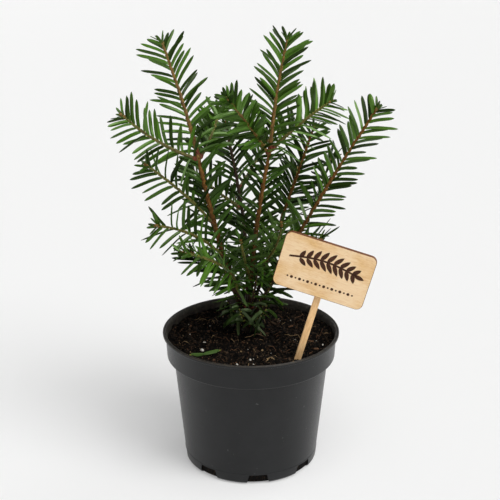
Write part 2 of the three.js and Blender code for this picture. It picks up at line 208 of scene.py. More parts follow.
class Nodes:
    """A short way to add shader nodes. An input is given as a value or as a node's output."""

    def __init__(self, material):
        self.tree = material.node_tree
        self.shader = self.tree.nodes["Principled BSDF"]

    def add(self, kind, inputs):
        node = self.tree.nodes.new(kind)
        for name, value in inputs.items():
            if isinstance(value, bpy.types.NodeSocket):
                self.tree.links.new(value, node.inputs[name])
            else:
                node.inputs[name].default_value = value
        return node

    def coords(self, scale=(1, 1, 1)):
        place = self.add("ShaderNodeTexCoord", {}).outputs["Object"]
        return self.add("ShaderNodeMapping", {"Vector": place, "Scale": scale}).outputs["Vector"]

    def noise(self, vector, scale, detail, roughness=0.6, distortion=0.0):
        return self.add("ShaderNodeTexNoise", {
            "Vector": vector, "Scale": scale, "Detail": detail, "Roughness": roughness,
            "Distortion": distortion}).outputs["Fac"]

    def ramp(self, value, stops):
        node = self.add("ShaderNodeValToRGB", {"Fac": value})
        elements = node.color_ramp.elements
        while len(elements) < len(stops):
            elements.new(0.5)
        for element, (place, color) in zip(elements, stops):
            element.position = place
            element.color = (*color, 1)
        return node.outputs["Color"]

    def mix(self, factor, a, b):
        node = self.add("ShaderNodeMix", {})
        node.data_type = "RGBA"
        for socket, output in ((0, factor), (6, a), (7, b)):
            self.tree.links.new(output, node.inputs[socket])
        return node.outputs[2]

    def bump(self, height, strength, distance):
        node = self.add("ShaderNodeBump", {"Height": height, "Strength": strength, "Distance": distance})
        self.set("Normal", node.outputs["Normal"])

    def set(self, name, output):
        self.tree.links.new(output, self.shader.inputs[name])


def grey(value):
    return (value, value, value)


# Where the colours of a speckled material lie on its ramp, by how many it has
PLACES = {2: (0.3, 0.7), 3: (0.3, 0.5, 0.72)}


def speckled(name, colors, scale, roughness, specular, bump, stretch=(1, 1, 1), places=None):
    """A material whose colour runs through the colours by noise of a scale, with a bump by noise,
    given as its own scale, strength and distance."""
    material = new_material(name, colors[len(colors) // 2], roughness, specular)
    bump_scale, strength, distance = bump
    n = Nodes(material)
    vector = n.coords(stretch)
    stops = list(zip(places or PLACES[len(colors)], colors))
    n.set("Base Color", n.ramp(n.noise(vector, scale, 6, 0.65, 0.3), stops))
    n.bump(n.noise(vector, bump_scale, 5), strength, distance)
    return material


def pot_material():
    """Black plastic, a little uneven in colour and gloss, with grey specks of dust."""
    material = new_material("pot_plastic", (0.008, 0.0084, 0.0088), 0.34, 0.31)
    n = Nodes(material)
    vector = n.coords()
    plain = n.ramp(n.noise(vector, 60, 5),
                   [(0.35, (0.0056, 0.006, 0.0066)), (0.7, (0.0092, 0.0098, 0.0108))])
    specks = n.ramp(n.noise(vector, 330, 2, 0.5), [(0.72, grey(0.0)), (0.77, grey(0.9))])
    dust = n.ramp(n.noise(vector, 90, 2), [(0.4, grey(0.018)), (0.6, grey(0.075))])
    n.set("Base Color", n.mix(specks, plain, dust))
    n.set("Roughness", n.ramp(n.noise(vector, 900, 3), [(0.3, grey(0.28)), (0.75, grey(0.42))]))
    n.bump(n.noise(vector, 1400, 3), 0.12, 0.0004)
    return material


def plate_material():
    """Birch veneer with its grain along the plate, and browner patches."""
    material = new_material("birch_ply", (0.78, 0.58, 0.36), 0.58, 0.3)
    n = Nodes(material)
    grain = n.noise(n.coords((1, 8, 9)), 150, 7, 0.6, 1.4)
    pale = n.ramp(grain, [(0.28, (0.8, 0.52, 0.28)), (0.46, (0.93, 0.67, 0.4)),
                          (0.75, (0.97, 0.765, 0.5))])
    toasted = n.ramp(grain, [(0.3, (0.62, 0.31, 0.085)), (0.7, (0.92, 0.62, 0.27))])
    haze = n.ramp(n.noise(n.coords((1, 1, 1.6)), 42, 3, 0.5), [(0.46, grey(0.0)), (0.7, grey(0.9))])
    n.set("Base Color", n.mix(haze, pale, toasted))
    n.bump(n.noise(n.coords((1, 10, 10)), 500, 3), 0.15, 0.0003)
    return material


def leader_bark():
    """Bark that turns from nearly black at the foot, which is painted shade under the crown, to
    orange-brown up the leaders.
    """
    places = (0.32, 0.5, 0.72)
    # The low colours are painted shade deep under the crown, and the high ones are the bark's own
    # orange-brown.
    low = [(0.005, 0.0032, 0.002), (0.015, 0.0085, 0.0045), (0.045, 0.024, 0.011)]
    high = [(0.046, 0.018, 0.004), (0.145, 0.062, 0.012), (0.34, 0.172, 0.04)]
    material = new_material("bark_leader", (0.1, 0.04, 0.015), 0.65, 0.16)
    n = Nodes(material)
    vector = n.coords(ALONG_STEM)
    flakes = n.noise(vector, 820, 6, 0.7, 0.4)
    height = n.add("ShaderNodeSeparateXYZ", {"Vector": n.coords()}).outputs["Z"]
    rise = n.add("ShaderNodeMapRange", {"Value": height, "From Min": 0.115, "From Max": 0.215})
    colors = [n.ramp(flakes, list(zip(places, tones))) for tones in (low, high)]
    n.set("Base Color", n.mix(rise.outputs["Result"], *colors))
    n.bump(n.noise(vector, 900, 5), 0.6, 0.0005)
    return material


POT = pot_material()
POT_DUST = speckled("pot_dusty", [(0.013, 0.012, 0.011), (0.034, 0.0285, 0.022), (0.072, 0.06, 0.044)],
                    300, 0.55, 0.35, (1400, 0.2, 0.0004), places=(0.3, 0.5, 0.7))
SOIL = speckled("soil_peat", [(0.0004, 0.0003, 0.0002), (0.002, 0.0013, 0.0009),
                              (0.012, 0.0075, 0.0045), (0.078, 0.047, 0.026)],
                620, 0.85, 0.1, (1100, 1.0, 0.001), places=(0.38, 0.5, 0.58, 0.69))
CRUMBS = [
    speckled("crumb_black", [(0.0006, 0.0004, 0.0003), (0.003, 0.002, 0.0013)],
             500, 0.85, 0.1, (1500, 0.8, 0.0005)),
    speckled("crumb_brown", [(0.012, 0.008, 0.0045), (0.085, 0.052, 0.029)],
             500, 0.8, 0.2, (1500, 0.8, 0.0005)),
    speckled("crumb_rust", [(0.045, 0.02, 0.01), (0.19, 0.095, 0.048)],
             500, 0.8, 0.2, (1500, 0.7, 0.0005)),
    speckled("crumb_straw", [(0.16, 0.1, 0.045), (0.42, 0.29, 0.15)],
             500, 0.7, 0.25, (1500, 0.6, 0.0004)),
    speckled("perlite", [(0.5, 0.46, 0.38), (0.78, 0.75, 0.68)],
             700, 0.8, 0.2, (1800, 0.6, 0.0003)),
]
BROWN_CRUMB, RUST_CRUMB, STRAW_CRUMB, PERLITE = range(1, len(CRUMBS))

ALONG_STEM = (1, 1, 0.45)
BARKS = {
    "old": leader_bark(),
    "dark": speckled("bark_dark", [(0.008, 0.005, 0.003), (0.028, 0.014, 0.007), (0.085, 0.042, 0.018)],
                     820, 0.65, 0.3, (900, 0.6, 0.0005), ALONG_STEM),
    "young": speckled("bark_young", [(0.05, 0.024, 0.005), (0.15, 0.075, 0.014), (0.34, 0.19, 0.04)],
                      820, 0.5, 0.35, (900, 0.4, 0.0004), ALONG_STEM),
    "green": speckled("bark_green", [(0.035, 0.03, 0.006), (0.1, 0.085, 0.016), (0.22, 0.17, 0.035)],
                      820, 0.5, 0.35, (900, 0.3, 0.0004), ALONG_STEM),
}
RIDGES = {
    "old": BARKS["old"],
    "dark": BARKS["dark"],
    "young": speckled("ridge_young", [(0.075, 0.06, 0.01), (0.22, 0.155, 0.028)],
                      820, 0.5, 0.35, (900, 0.3, 0.0004)),
    "green": speckled("ridge_green", [(0.06, 0.075, 0.012), (0.15, 0.165, 0.03)],
                      820, 0.5, 0.35, (900, 0.3, 0.0004)),
}
BUD = speckled("bud_scale", [(0.12, 0.055, 0.015), (0.26, 0.14, 0.035), (0.4, 0.26, 0.08)],
               600, 0.5, 0.4, (1200, 0.3, 0.0003))
NODE_SCALE = speckled("node_scale", [(0.04, 0.011, 0.006), (0.15, 0.032, 0.014), (0.3, 0.085, 0.036)],
                      600, 0.55, 0.35, (1200, 0.3, 0.0003))
PLATE = plate_material()
STICK = speckled("birch_stick", [(0.72, 0.4, 0.17), (0.94, 0.61, 0.3), (0.97, 0.71, 0.4)],
                 160, 0.65, 0.3, (700, 0.15, 0.0003), (8, 8, 1), (0.3, 0.55, 0.8))
CHAR = speckled("charred_wood", [(0.03, 0.01, 0.005), (0.06, 0.021, 0.009), (0.11, 0.042, 0.017)],
                300, 0.75, 0.25, (900, 0.3, 0.0003), (1, 8, 8), (0.3, 0.5, 0.75))
EDGE = speckled("scorched_edge", [(0.09, 0.026, 0.009), (0.21, 0.078, 0.03)],
                300, 0.7, 0.25, (900, 0.2, 0.0003), places=(0.3, 0.6))

# Needle tones, dealt out by shoot: the colour of the upper side and of the underside, and the shine.
# The two darkest tones are painted shade on back, low and inner shoots, the lightest painted light.
TONES = {
    "painted_shade": ((0.008, 0.02, 0.002), (0.017, 0.033, 0.007), 0.16),
    "dark": ((0.02, 0.049, 0.005), (0.04, 0.076, 0.015), 0.26),
    "waxy": ((0.036, 0.07, 0.015), (0.075, 0.105, 0.04), 0.9),
    "green": ((0.038, 0.09, 0.008), (0.066, 0.124, 0.025), 0.38),
    "painted_light": ((0.056, 0.128, 0.0115), (0.088, 0.166, 0.032), 0.42),
}
LIT_AND_SHADED = (0.38, 0.92, 1.7)  # lit and shaded copies of a tone, dealt out needle by needle: painted light and shade
SHINE_OF_SHADE = (0.6, 1.0, 1.4)
NEEDLE_GLOSS = (0.78, 1.0, 0.55, 1.0)
NEEDLE_FOOT = new_material("needle_foot", (0.26, 0.27, 0.05), 0.5, 0.3)


def needle_material(name, color, roughness, specular):
    """Plain colour under a slightly uneven waxy surface."""
    material = new_material(name, color, roughness, specular)
    n = Nodes(material)
    n.shader.inputs["Specular Tint"].default_value = NEEDLE_GLOSS
    n.bump(n.noise(n.coords(), 900, 2), 0.08, 0.0003)
    return material


def needle_materials(tone):
    """A tone's lit and shaded copies of the upper side, which are painted light and shade, then the
    underside, then the pale foot.
    """
    upper, under, shine = TONES[tone]
    materials = []
    for shade, share in zip(LIT_AND_SHADED, SHINE_OF_SHADE):
        color = [c * shade for c in upper]
        materials.append(needle_material(f"needle_{tone}_{int(shade * 100)}", color, 0.3, shine * share))
    return materials + [needle_material(f"needle_{tone}_under", under, 0.55, 0.15), NEEDLE_FOOT]


# ------------ the pot

_, pot_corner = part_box("pot")
POT_HEIGHT = pot_corner[2] / MM
RIM_RADIUS = pot_corner[0] / MM
LIP_THICKNESS = 1.8
LIP_OVERHANG = 2.0
LIP_GROOVE = 0.45  # depth of the groove along the lip, between its two beads
COLLAR_HEIGHT = 18.6
COLLAR_DRAFT = 0.9
COLLAR_STEP = 4.8
BASE_RADIUS = 49.2
FOOT_EDGE = 2.0
BAND_TOP = 8.6  # of the faint thicker band round the foot
BAND_EDGE = 0.5
BAND_PROUD = 0.22
WALL = 1.0
FLOOR = 1.4
NOTCHES = 8
NOTCH_WIDTH = 15
NOTCH_FLARE = 1.0
NOTCH_HEIGHT = 8
NOTCH_DEPTH = 5
FIRST_NOTCH = -84  # azimuth
POT_SEGMENTS = 192
POT_CREASE = 35

COLLAR_FOOT = POT_HEIGHT - COLLAR_HEIGHT
COLLAR_RADIUS = RIM_RADIUS - LIP_OVERHANG
COLLAR_FOOT_RADIUS = COLLAR_RADIUS - COLLAR_DRAFT
BODY_RADIUS = COLLAR_FOOT_RADIUS - COLLAR_STEP
SHOULDER = COLLAR_FOOT - 1.2


def wall_radius(height):
    return BASE_RADIUS + (BODY_RADIUS - BASE_RADIUS) * height / SHOULDER


def rounded(profile, steps=4):
    """Corners given as (radius, height, rounding) become small arcs."""
    points = []
    last = len(profile) - 1
    for i, (r, z, rounding) in enumerate(profile):
        here = np.array([r, z], float)
        if rounding == 0 or i in (0, last):
            points.append(here)
            continue
        start = here + unit(np.array(profile[i - 1][:2]) - here) * rounding
        end = here + unit(np.array(profile[i + 1][:2]) - here) * rounding
        for k in range(steps + 1):
            t = k / steps
            points.append((1 - t) ** 2 * start + 2 * t * (1 - t) * here + t ** 2 * end)
    return points


def turned(profile, segments):
    """A closed solid from a profile turned about the pot's axis, between two points on the axis."""
    rings = profile[1:-1]
    points = [(0, 0, profile[0][1])]
    for r, z in rings:
        points += [(r * c, r * s, z) for c, s in circle(segments)]
    points.append((0, 0, profile[-1][1]))
    faces = []
    last = 1 + (len(rings) - 1) * segments
    for s in range(segments):
        n = (s + 1) % segments
        faces.append((0, 1 + n, 1 + s))
        for a in range(1, last, segments):
            b = a + segments
            faces.append((a + s, a + n, b + n, b + s))
        faces.append((len(points) - 1, last + s, last + n))
    return points, faces


def build_pot():
    lip_foot = POT_HEIGHT - LIP_THICKNESS
    groove = POT_HEIGHT - LIP_GROOVE
    profile = rounded([
        (0, 0, 0), (BASE_RADIUS - FOOT_EDGE, 0, 0.8), (wall_radius(FOOT_EDGE) + BAND_PROUD, FOOT_EDGE, 0.8),
        (wall_radius(BAND_TOP) + BAND_PROUD, BAND_TOP, 0.2),
        (wall_radius(BAND_TOP + BAND_EDGE), BAND_TOP + BAND_EDGE, 0.2),
        (BODY_RADIUS, SHOULDER, 0.6), (COLLAR_FOOT_RADIUS, COLLAR_FOOT, 0.8),
        (COLLAR_FOOT_RADIUS + 0.1, COLLAR_FOOT + 1.6, 0.3),
        (COLLAR_RADIUS, lip_foot, 0.6), (RIM_RADIUS, lip_foot, 0.55),
        (RIM_RADIUS, POT_HEIGHT, 0.4), (RIM_RADIUS - 0.8, POT_HEIGHT, 0.25),
        (RIM_RADIUS - 1.1, groove, 0.15), (COLLAR_RADIUS + 0.4, groove, 0.15),
        (COLLAR_RADIUS + 0.1, POT_HEIGHT, 0.2), (COLLAR_RADIUS - 0.4, POT_HEIGHT, 0.25),
        (COLLAR_RADIUS - WALL - 0.1, lip_foot - 0.6, 0.3),
        (COLLAR_FOOT_RADIUS - WALL, COLLAR_FOOT + WALL, 0.4), (BODY_RADIUS - WALL, SHOULDER, 0.4),
        (wall_radius(FLOOR) - WALL, FLOOR, 0.3), (0, FLOOR, 0),
    ])
    points, faces = turned(profile, POT_SEGMENTS)
    pot = mesh("pot_shell", points, faces, [POT, POT_DUST], [int(is_dusty(points, f)) for f in faces])
    cutters = [notch_cutter(FIRST_NOTCH + i * 360 / NOTCHES) for i in range(NOTCHES)]
    cut(pot, join("notch_cutter", cutters, []))
    pot.data.set_sharp_from_angle(angle=math.radians(POT_CREASE))
    dress(pot, "pot", "pot")


def is_dusty(points, face):
    """Peat dust lies on the lip's top and on the wall inside it."""
    x, y, z = np.mean([points[i] for i in face], axis=0)
    outside = COLLAR_FOOT_RADIUS + COLLAR_DRAFT * (z - COLLAR_FOOT) / COLLAR_HEIGHT
    return z > COLLAR_FOOT and (z > POT_HEIGHT - 0.3 or math.hypot(x, y) < outside - 0.2)


def notch_cutter(azimuth):
    """A block wider at its foot, lying along a radius through the pot's bottom edge."""
    foot, top = NOTCH_WIDTH / 2 + NOTCH_FLARE, NOTCH_WIDTH / 2 - NOTCH_FLARE
    section = [(-foot, -1), (foot, -1), (top, NOTCH_HEIGHT), (-top, NOTCH_HEIGHT)]
    outward = direction(azimuth, 0)
    sideways = np.cross(UP, outward)
    points = []
    for r in (BASE_RADIUS - NOTCH_DEPTH, BASE_RADIUS + 4):
        points += [outward * r + sideways * s + UP * z for s, z in section]
    return points, ring_faces(2, len(section)), 0


def cut(obj, cutter):
    modifier = obj.modifiers.new("cut", "BOOLEAN")
    modifier.operation = "DIFFERENCE"
    modifier.solver = "EXACT"
    modifier.object = cutter
    apply_modifiers(obj)
    bpy.data.objects.remove(cutter)


# ------------ the soil

SOIL_AT_WALL = 95.5
SOIL_AT_TRUNK = 96.5
MOUND_FLAT = 19
MOUND_FOOT = 44
SOIL_RADIUS = COLLAR_FOOT_RADIUS + 0.5 - WALL
SOIL_CELLS = 230

# The soil's relief: how many waves or cells in a millimetre, and how high they stand
LUMPS = (0.085, 2.0)
CLODS = (0.17, 2.6)
CRUMBLE = (0.65, 1.0)
GRIT = (2.1, 0.35)
RELIEF_LIFT = 0.25  # of all of it


def cells(x, y, relief, layer):
    """Lumps by cell noise. Each layer has cells of its own."""
    scale, height = relief
    nearest = noise.voronoi(Vector((x * scale, y * scale, layer)))[0][0]
    return (0.5 - min(nearest, 0.9)) * height


def soil_level(x, y):
    """Height of the soil: a low mound with lumps, clods, crumbs and grit by noise."""
    r = math.hypot(x, y)
    share = min(max((r - MOUND_FLAT) / (MOUND_FOOT - MOUND_FLAT), 0), 1)
    level = SOIL_AT_TRUNK + (SOIL_AT_WALL - SOIL_AT_TRUNK) * share * share * (3 - 2 * share)
    lumps = noise.fractal(Vector((x * LUMPS[0], y * LUMPS[0], 3.1)), 0.9, 2.1, 3) * LUMPS[1]
    grit = noise.noise(Vector((x * GRIT[0], y * GRIT[0], 1.3))) * GRIT[1]
    return level + lumps + cells(x, y, CLODS, 0.5) + cells(x, y, CRUMBLE, 8.5) + grit + RELIEF_LIFT


def on_disc(u, v):
    """A point of the square from -1 to 1 lands on the round disc, with even cells."""
    if u == 0 and v == 0:
        return 0.0, 0.0
    if abs(u) > abs(v):
        return u * math.cos(math.pi / 4 * v / u), u * math.sin(math.pi / 4 * v / u)
    return v * math.sin(math.pi / 4 * u / v), v * math.cos(math.pi / 4 * u / v)


def build_soil():
    """A disc with relief, and plain sides down to the pot's floor."""
    side = SOIL_CELLS + 1
    ticks = [2 * i / SOIL_CELLS - 1 for i in range(side)]
    points = []
    for v in ticks:
        for u in ticks:
            x, y = (c * SOIL_RADIUS for c in on_disc(u, v))
            points.append((x, y, soil_level(x, y)))
    faces = [(a, a + 1, a + side + 1, a + side) for a in grid_corners(side, side)]
    border = grid_rim(side, side)
    last = border
    for outside, gap, z in ((COLLAR_FOOT_RADIUS, 0.1, COLLAR_FOOT + 2), (BODY_RADIUS, GAP, SHOULDER),
                            (wall_radius(FLOOR), GAP, FLOOR + GAP)):
        radius = outside - WALL - gap
        ring = list(range(len(points), len(points) + len(border)))
        for x, y, _ in [points[i] for i in border]:
            share = radius / math.hypot(x, y)
            points.append((x * share, y * share, z))
        faces += band(last, ring)
        last = ring
    faces.append(last[::-1])
    dress(mesh("soil_bed", points, faces, [SOIL]), "soil", "soil")


def icosphere():
    """Points and faces of a small ball: an icosahedron with each face split in four."""
    t = (1 + math.sqrt(5)) / 2
    corners = [(-1, t, 0), (1, t, 0), (-1, -t, 0), (1, -t, 0), (0, -1, t), (0, 1, t),
               (0, -1, -t), (0, 1, -t), (t, 0, -1), (t, 0, 1), (-t, 0, -1), (-t, 0, 1)]
    triangles = [(0, 11, 5), (0, 5, 1), (0, 1, 7), (0, 7, 10), (0, 10, 11), (1, 5, 9), (5, 11, 4),
                 (11, 10, 2), (10, 7, 6), (7, 1, 8), (3, 9, 4), (3, 4, 2), (3, 2, 6), (3, 6, 8),
                 (3, 8, 9), (4, 9, 5), (2, 4, 11), (6, 2, 10), (8, 6, 7), (9, 8, 1)]
    points = [unit(corner) for corner in corners]
    halves, faces = {}, []

    def half(a, b):
        key = (min(a, b), max(a, b))
        if key not in halves:
            halves[key] = len(points)
            points.append(unit(points[a] + points[b]))
        return halves[key]

    for a, b, c in triangles:
        ab, bc, ca = half(a, b), half(b, c), half(c, a)
        faces += [(a, ab, ca), (b, bc, ab), (c, ca, bc), (ab, bc, ca)]
    return np.array(points), faces


BALL_POINTS, BALL_FACES = icosphere()
FULL_TURN, HALF_TURN = 6.28, 3.1  # radians, for what is turned at random
GRAIN_WIDTH = (0.65, 0.95)  # of its length
GRAIN_HEIGHT = (0.4, 0.8)
GRAIN_BUMPS = 0.55
CHIP_TILT = 0.35
CHIP_CURL = (0.3, 0.8)
CHIP_THICKNESS = 0.32
FIBRE_BEND = 0.8
FIBRE_STEPS = 9


def grain(x, y, size, lift, draw, slot):
    """An uneven grain: a ball pushed in and out by noise, squeezed and turned at random. Its
    middle lies above the soil by a share of its size, the lift."""
    turn = Matrix.Rotation(draw(0, FULL_TURN), 3, "Z") @ Matrix.Rotation(draw(0, HALF_TURN), 3, "X")
    squeeze = np.array([1.0, draw(*GRAIN_WIDTH), draw(*GRAIN_HEIGHT)])
    shift = Vector((draw(0, 50), draw(0, 50), draw(0, 50)))
    bumps = np.array([1 + GRAIN_BUMPS * noise.noise(Vector(p) * 1.5 + shift) for p in BALL_POINTS])
    place = (x, y, soil_level(x, y) + size * lift)
    return (BALL_POINTS * bumps[:, None] * squeeze) @ np.array(turn).T * size / 2 + place, BALL_FACES, slot


def chip(x, y, size, draw, slot):
    """A thin curved flake of bark, half as wide as it is long."""
    turn = draw(0, FULL_TURN)
    tilt = draw(-CHIP_TILT, CHIP_TILT)
    curl = draw(*CHIP_CURL)
    ground = soil_level(x, y) + 0.5
    rows, columns = 4, 5
    points = []
    for side in (1, -1):
        for i in range(rows):
            for j in range(columns):
                u, v = i / (rows - 1) - 0.5, j / (columns - 1) - 0.5
                ragged = 1 + 0.25 * noise.noise(Vector((u * 4 + x, v * 4 + y, size)))
                px, py = v * size * ragged, u * size * 0.5 * ragged
                pz = -curl * u * u * size * 0.8 + side * CHIP_THICKNESS / 2 + px * tilt
                points.append((x + px * math.cos(turn) - py * math.sin(turn),
                               y + px * math.sin(turn) + py * math.cos(turn), ground + pz))
    return points, sheet_faces(rows, columns), slot


def fibre(x, y, length, radius, draw, slot, heading=None):
    """A thin root or straw that follows the ground and lifts a little."""
    angle = draw(0, FULL_TURN) if heading is None else heading
    bend = draw(-FIBRE_BEND, FIBRE_BEND)
    lift = 0.2 + 1.2 * draw() ** 2
    line, radii = [], []
    for k in range(FIBRE_STEPS + 1):
        t = k / FIBRE_STEPS
        line.append((x, y, soil_level(x, y) + radius + lift * math.sin(math.pi * t)))
        radii.append(radius * (0.4 + 0.6 * math.sin(math.pi * (0.1 + 0.8 * t))))
        x += math.cos(angle) * length / FIBRE_STEPS
        y += math.sin(angle) * length / FIBRE_STEPS
        angle += bend / FIBRE_STEPS
    line = np.array(line)
    line[1:-1, 2] = (line[:-2, 2] + 2 * line[1:-1, 2] + line[2:, 2]) / 4
    return tube(line, radii, 6, slot)


def spot_on_soil(draw, nearest, farthest):
    """A random place in a ring about the pot's axis."""
    r = math.sqrt(nearest ** 2 + (farthest ** 2 - nearest ** 2) * draw())
    a = 2 * math.pi * draw()
    return r * math.cos(a), r * math.sin(a)


# How many grains of each kind, with their smallest and largest size
GRAINS = [(760, 0.8, 2.6), (1000, 0.5, 1.7), (230, 0.4, 1.2), (80, 0.35, 0.9), (14, 0.7, 1.4)]
CHIPS = 30
FIBRES = 170
LITTER_CREASE = 40

# The bits that stand out in the photo: where they lie, how large they are and of which kind
MARKED_GRAINS = [
    (-34, -11.8, 2.0, PERLITE), (-35.2, -25, 2.7, PERLITE), (-0.5, -40.3, 1.8, PERLITE),
    (-9.8, -51.2, 1.6, PERLITE), (32.2, -7.8, 1.6, PERLITE), (52, -17, 1.7, PERLITE),
    (29.8, -45.7, 3.0, STRAW_CRUMB), (8.1, -26.3, 1.8, STRAW_CRUMB), (-7.1, -31.2, 1.5, STRAW_CRUMB),
]
MARKED_CHIPS = [
    (12.8, -40.2, 3.6, STRAW_CRUMB), (5.2, -51, 3.4, RUST_CRUMB), (46.8, -23.4, 4.2, RUST_CRUMB),
    (-30, -40.3, 4.0, RUST_CRUMB), (-26, -42, 3.0, RUST_CRUMB),
]
# Pale twigs and straws: where each starts, its length, radius and heading in radians
MARKED_FIBRES = [
    (-4.4, -4.2, 14.5, 0.34, 0.52), (-15.2, -8.0, 5.0, 0.22, -1.1), (10.5, -42.3, 7.0, 0.3, 0.5),
    (12.0, -39.2, 5.5, 0.3, -0.5), (14.5, -42.0, 5.0, 0.3, 1.4),
]


def build_soil_litter():
    """Crumbs, bark chips and fibres that lie on the peat."""
    draw = random_from(77)
    parts = []
    for slot, (count, small, large) in enumerate(GRAINS):
        for _ in range(count):
            x, y = spot_on_soil(draw, 6.0, SOIL_RADIUS - 1.5)
            size = small + (large - small) * draw() ** 2
            parts.append(grain(x, y, size, 0.15, draw, slot))
    for _ in range(CHIPS):
        x, y = spot_on_soil(draw, 9, SOIL_RADIUS - 4)
        size = draw(1.8, 4.4)
        slot = BROWN_CRUMB + int(draw(0, 1.3))
        parts.append(chip(x, y, size, draw, slot))
    for _ in range(FIBRES):
        x, y = spot_on_soil(draw, 8, SOIL_RADIUS - 7)
        kind = draw()
        slot = BROWN_CRUMB if kind < 0.4 else (RUST_CRUMB if kind < 0.75 else STRAW_CRUMB)
        parts.append(fibre(x, y, draw(2, 8), draw(0.1, 0.24), draw, slot))
    parts += [grain(x, y, size, 0.3, draw, slot) for x, y, size, slot in MARKED_GRAINS]
    parts += [chip(x, y, size, draw, slot) for x, y, size, slot in MARKED_CHIPS]
    for x, y, length, radius, heading in MARKED_FIBRES:
        parts.append(fibre(x, y, length, radius, draw, STRAW_CRUMB, heading))
    dress(join("soil_litter", parts, CRUMBS, LITTER_CREASE), "soil", "soil")


# ------------ the label

LABEL_FOOT = (33.4, -36.7, 96)
LABEL_LEAN = 15.3  # degrees to the right
LABEL_TILT = 2.4  # towards the front
LABEL_TURN = -9  # about its own stick
STICK_WIDTH = 4.8
STICK_THICKNESS = 2.5
STICK_CORNER = 0.5
STICK_IN_SOIL = 36
STICK_LENGTH = 112
PLATE_WIDTH = 64.5
PLATE_HEIGHT = 40.4
PLATE_THICKNESS = 3
PLATE_CORNER = 4.6
PLATE_CENTRE = 70.7
PLATE_SHIFT = -1.3
PLATE_FRONT = -STICK_THICKNESS / 2 - GAP - PLATE_THICKNESS

LABEL_MATRIX = (Matrix.Translation(Vector(LABEL_FOOT) * MM)
                @ Matrix.Rotation(math.radians(LABEL_LEAN), 4, "Y")
                @ Matrix.Rotation(math.radians(LABEL_TILT), 4, "X")
                @ Matrix.Rotation(math.radians(LABEL_TURN), 4, "Z"))

CHAR_PROUD = 0.06  # of the plate's front
CHAR_SUNK = 0.05  # below it
SPRIG_SPAN = 42
SPRIG_ARCH = 3.4
SPRIG_LEVEL = 3.2  # of its ends, above the plate's middle
TWIG_THICKNESS = 1.4
LEAF_PAIRS = 9
LEAF_LENGTH = 9.0
LEAF_WIDTH = 3.1
LEAF_OPENING = 0.95
DOTS = 17
DOT_GAP = 2.9
DOT_LEVEL = -11.2
DOT_RADII = (0.65, 1.05)  # by turns


def rounded_outline(width, height, corner, steps=8):
    points = []
    for quarter, (sx, sz) in enumerate([(1, -1), (1, 1), (-1, 1), (-1, -1)]):
        for k in range(steps + 1):
            a = math.pi / 2 * (quarter - 1 + k / steps)
            points.append((sx * (width / 2 - corner) + corner * math.cos(a),
                           sz * (height / 2 - corner) + corner * math.sin(a)))
    return points


def on_plate(outline, depth):
    """An outline in the plate's own coordinates, at a depth behind its front."""
    return [(x + PLATE_SHIFT, PLATE_FRONT + depth, z + PLATE_CENTRE) for x, z in outline]


def build_plate():
    """Plywood with scorched sides and eased edges."""
    eased = [(0.35, 0.0), (0.08, 0.08), (0.0, 0.35)]  # inset and depth
    layers = eased + [(inset, PLATE_THICKNESS - depth) for inset, depth in reversed(eased)]
    points = []
    for inset, depth in layers:
        width, height = PLATE_WIDTH - 2 * inset, PLATE_HEIGHT - 2 * inset
        points += on_plate(rounded_outline(width, height, PLATE_CORNER - inset), depth)
    sides = len(points) // len(layers)
    faces = ring_faces(len(layers), sides)
    slots = [1] * (len(faces) - 2) + [0, 0]
    plate = mesh("plate_ply", points, faces, [PLATE, EDGE], slots, False, LABEL_MATRIX)
    dress(plate, "label", "label_plate")


def burnt(outline):
    """A flat shape on the plate's front, a hair proud of it."""
    count = len(outline)
    front, back = list(range(count)), list(range(count, 2 * count))
    points = on_plate(outline, -CHAR_PROUD) + on_plate(outline, CHAR_SUNK)
    return points, [front, back[::-1]] + band(front, back), 0


def leaf_outline(x, z, angle, length):
    """A narrow leaf from its foot, rounded at both sides and pointed at its tip."""
    sides = []
    for k in range(1, 7):
        t = k / 7
        sides.append((t * length, math.sin(math.pi * t ** 0.8) ** 0.7 * LEAF_WIDTH / 2))
    outline = [(0, 0)] + sides + [(length, 0)] + [(a, -b) for a, b in reversed(sides)]
    c, s = math.cos(angle), math.sin(angle)
    return [(x + a * c - b * s, z + a * s + b * c) for a, b in outline]


def build_burnt_sprig():
    """A plain sprig and a row of dots, burnt into the plate."""
    parts = []
    for k in range(LEAF_PAIRS):
        t = (k + 0.5) / LEAF_PAIRS
        bulge = math.sin(math.pi * t)
        slope = math.atan(SPRIG_ARCH * math.pi / SPRIG_SPAN * math.cos(math.pi * t))
        x, z = SPRIG_SPAN * (t - 0.5), SPRIG_LEVEL + SPRIG_ARCH * bulge
        for opening in (LEAF_OPENING, -LEAF_OPENING):
            parts.append(burnt(leaf_outline(x, z, slope + opening, LEAF_LENGTH * (0.72 + 0.28 * bulge))))
    parts.append(burnt(leaf_outline(SPRIG_SPAN / 2 - 0.8, SPRIG_LEVEL + 0.2, -0.2, 7.5)))
    twig = []
    for k in range(25):
        t = k / 24
        twig.append(((SPRIG_SPAN + 6) * (t - 0.5) - 2, SPRIG_LEVEL + SPRIG_ARCH * math.sin(math.pi * t)))
    half = TWIG_THICKNESS / 2
    parts.append(burnt([(x, z - half) for x, z in twig] + [(x, z + half) for x, z in reversed(twig)]))
    for k in range(DOTS):
        x = DOT_GAP * (k - (DOTS - 1) / 2)
        radius = DOT_RADII[k % 2]
        parts.append(burnt([(x + radius * c, DOT_LEVEL + radius * s) for c, s in circle(12)]))
    sprig = join("plate_sprig", parts, [CHAR], smooth=False, matrix=LABEL_MATRIX)
    dress(sprig, "label", "label_plate")


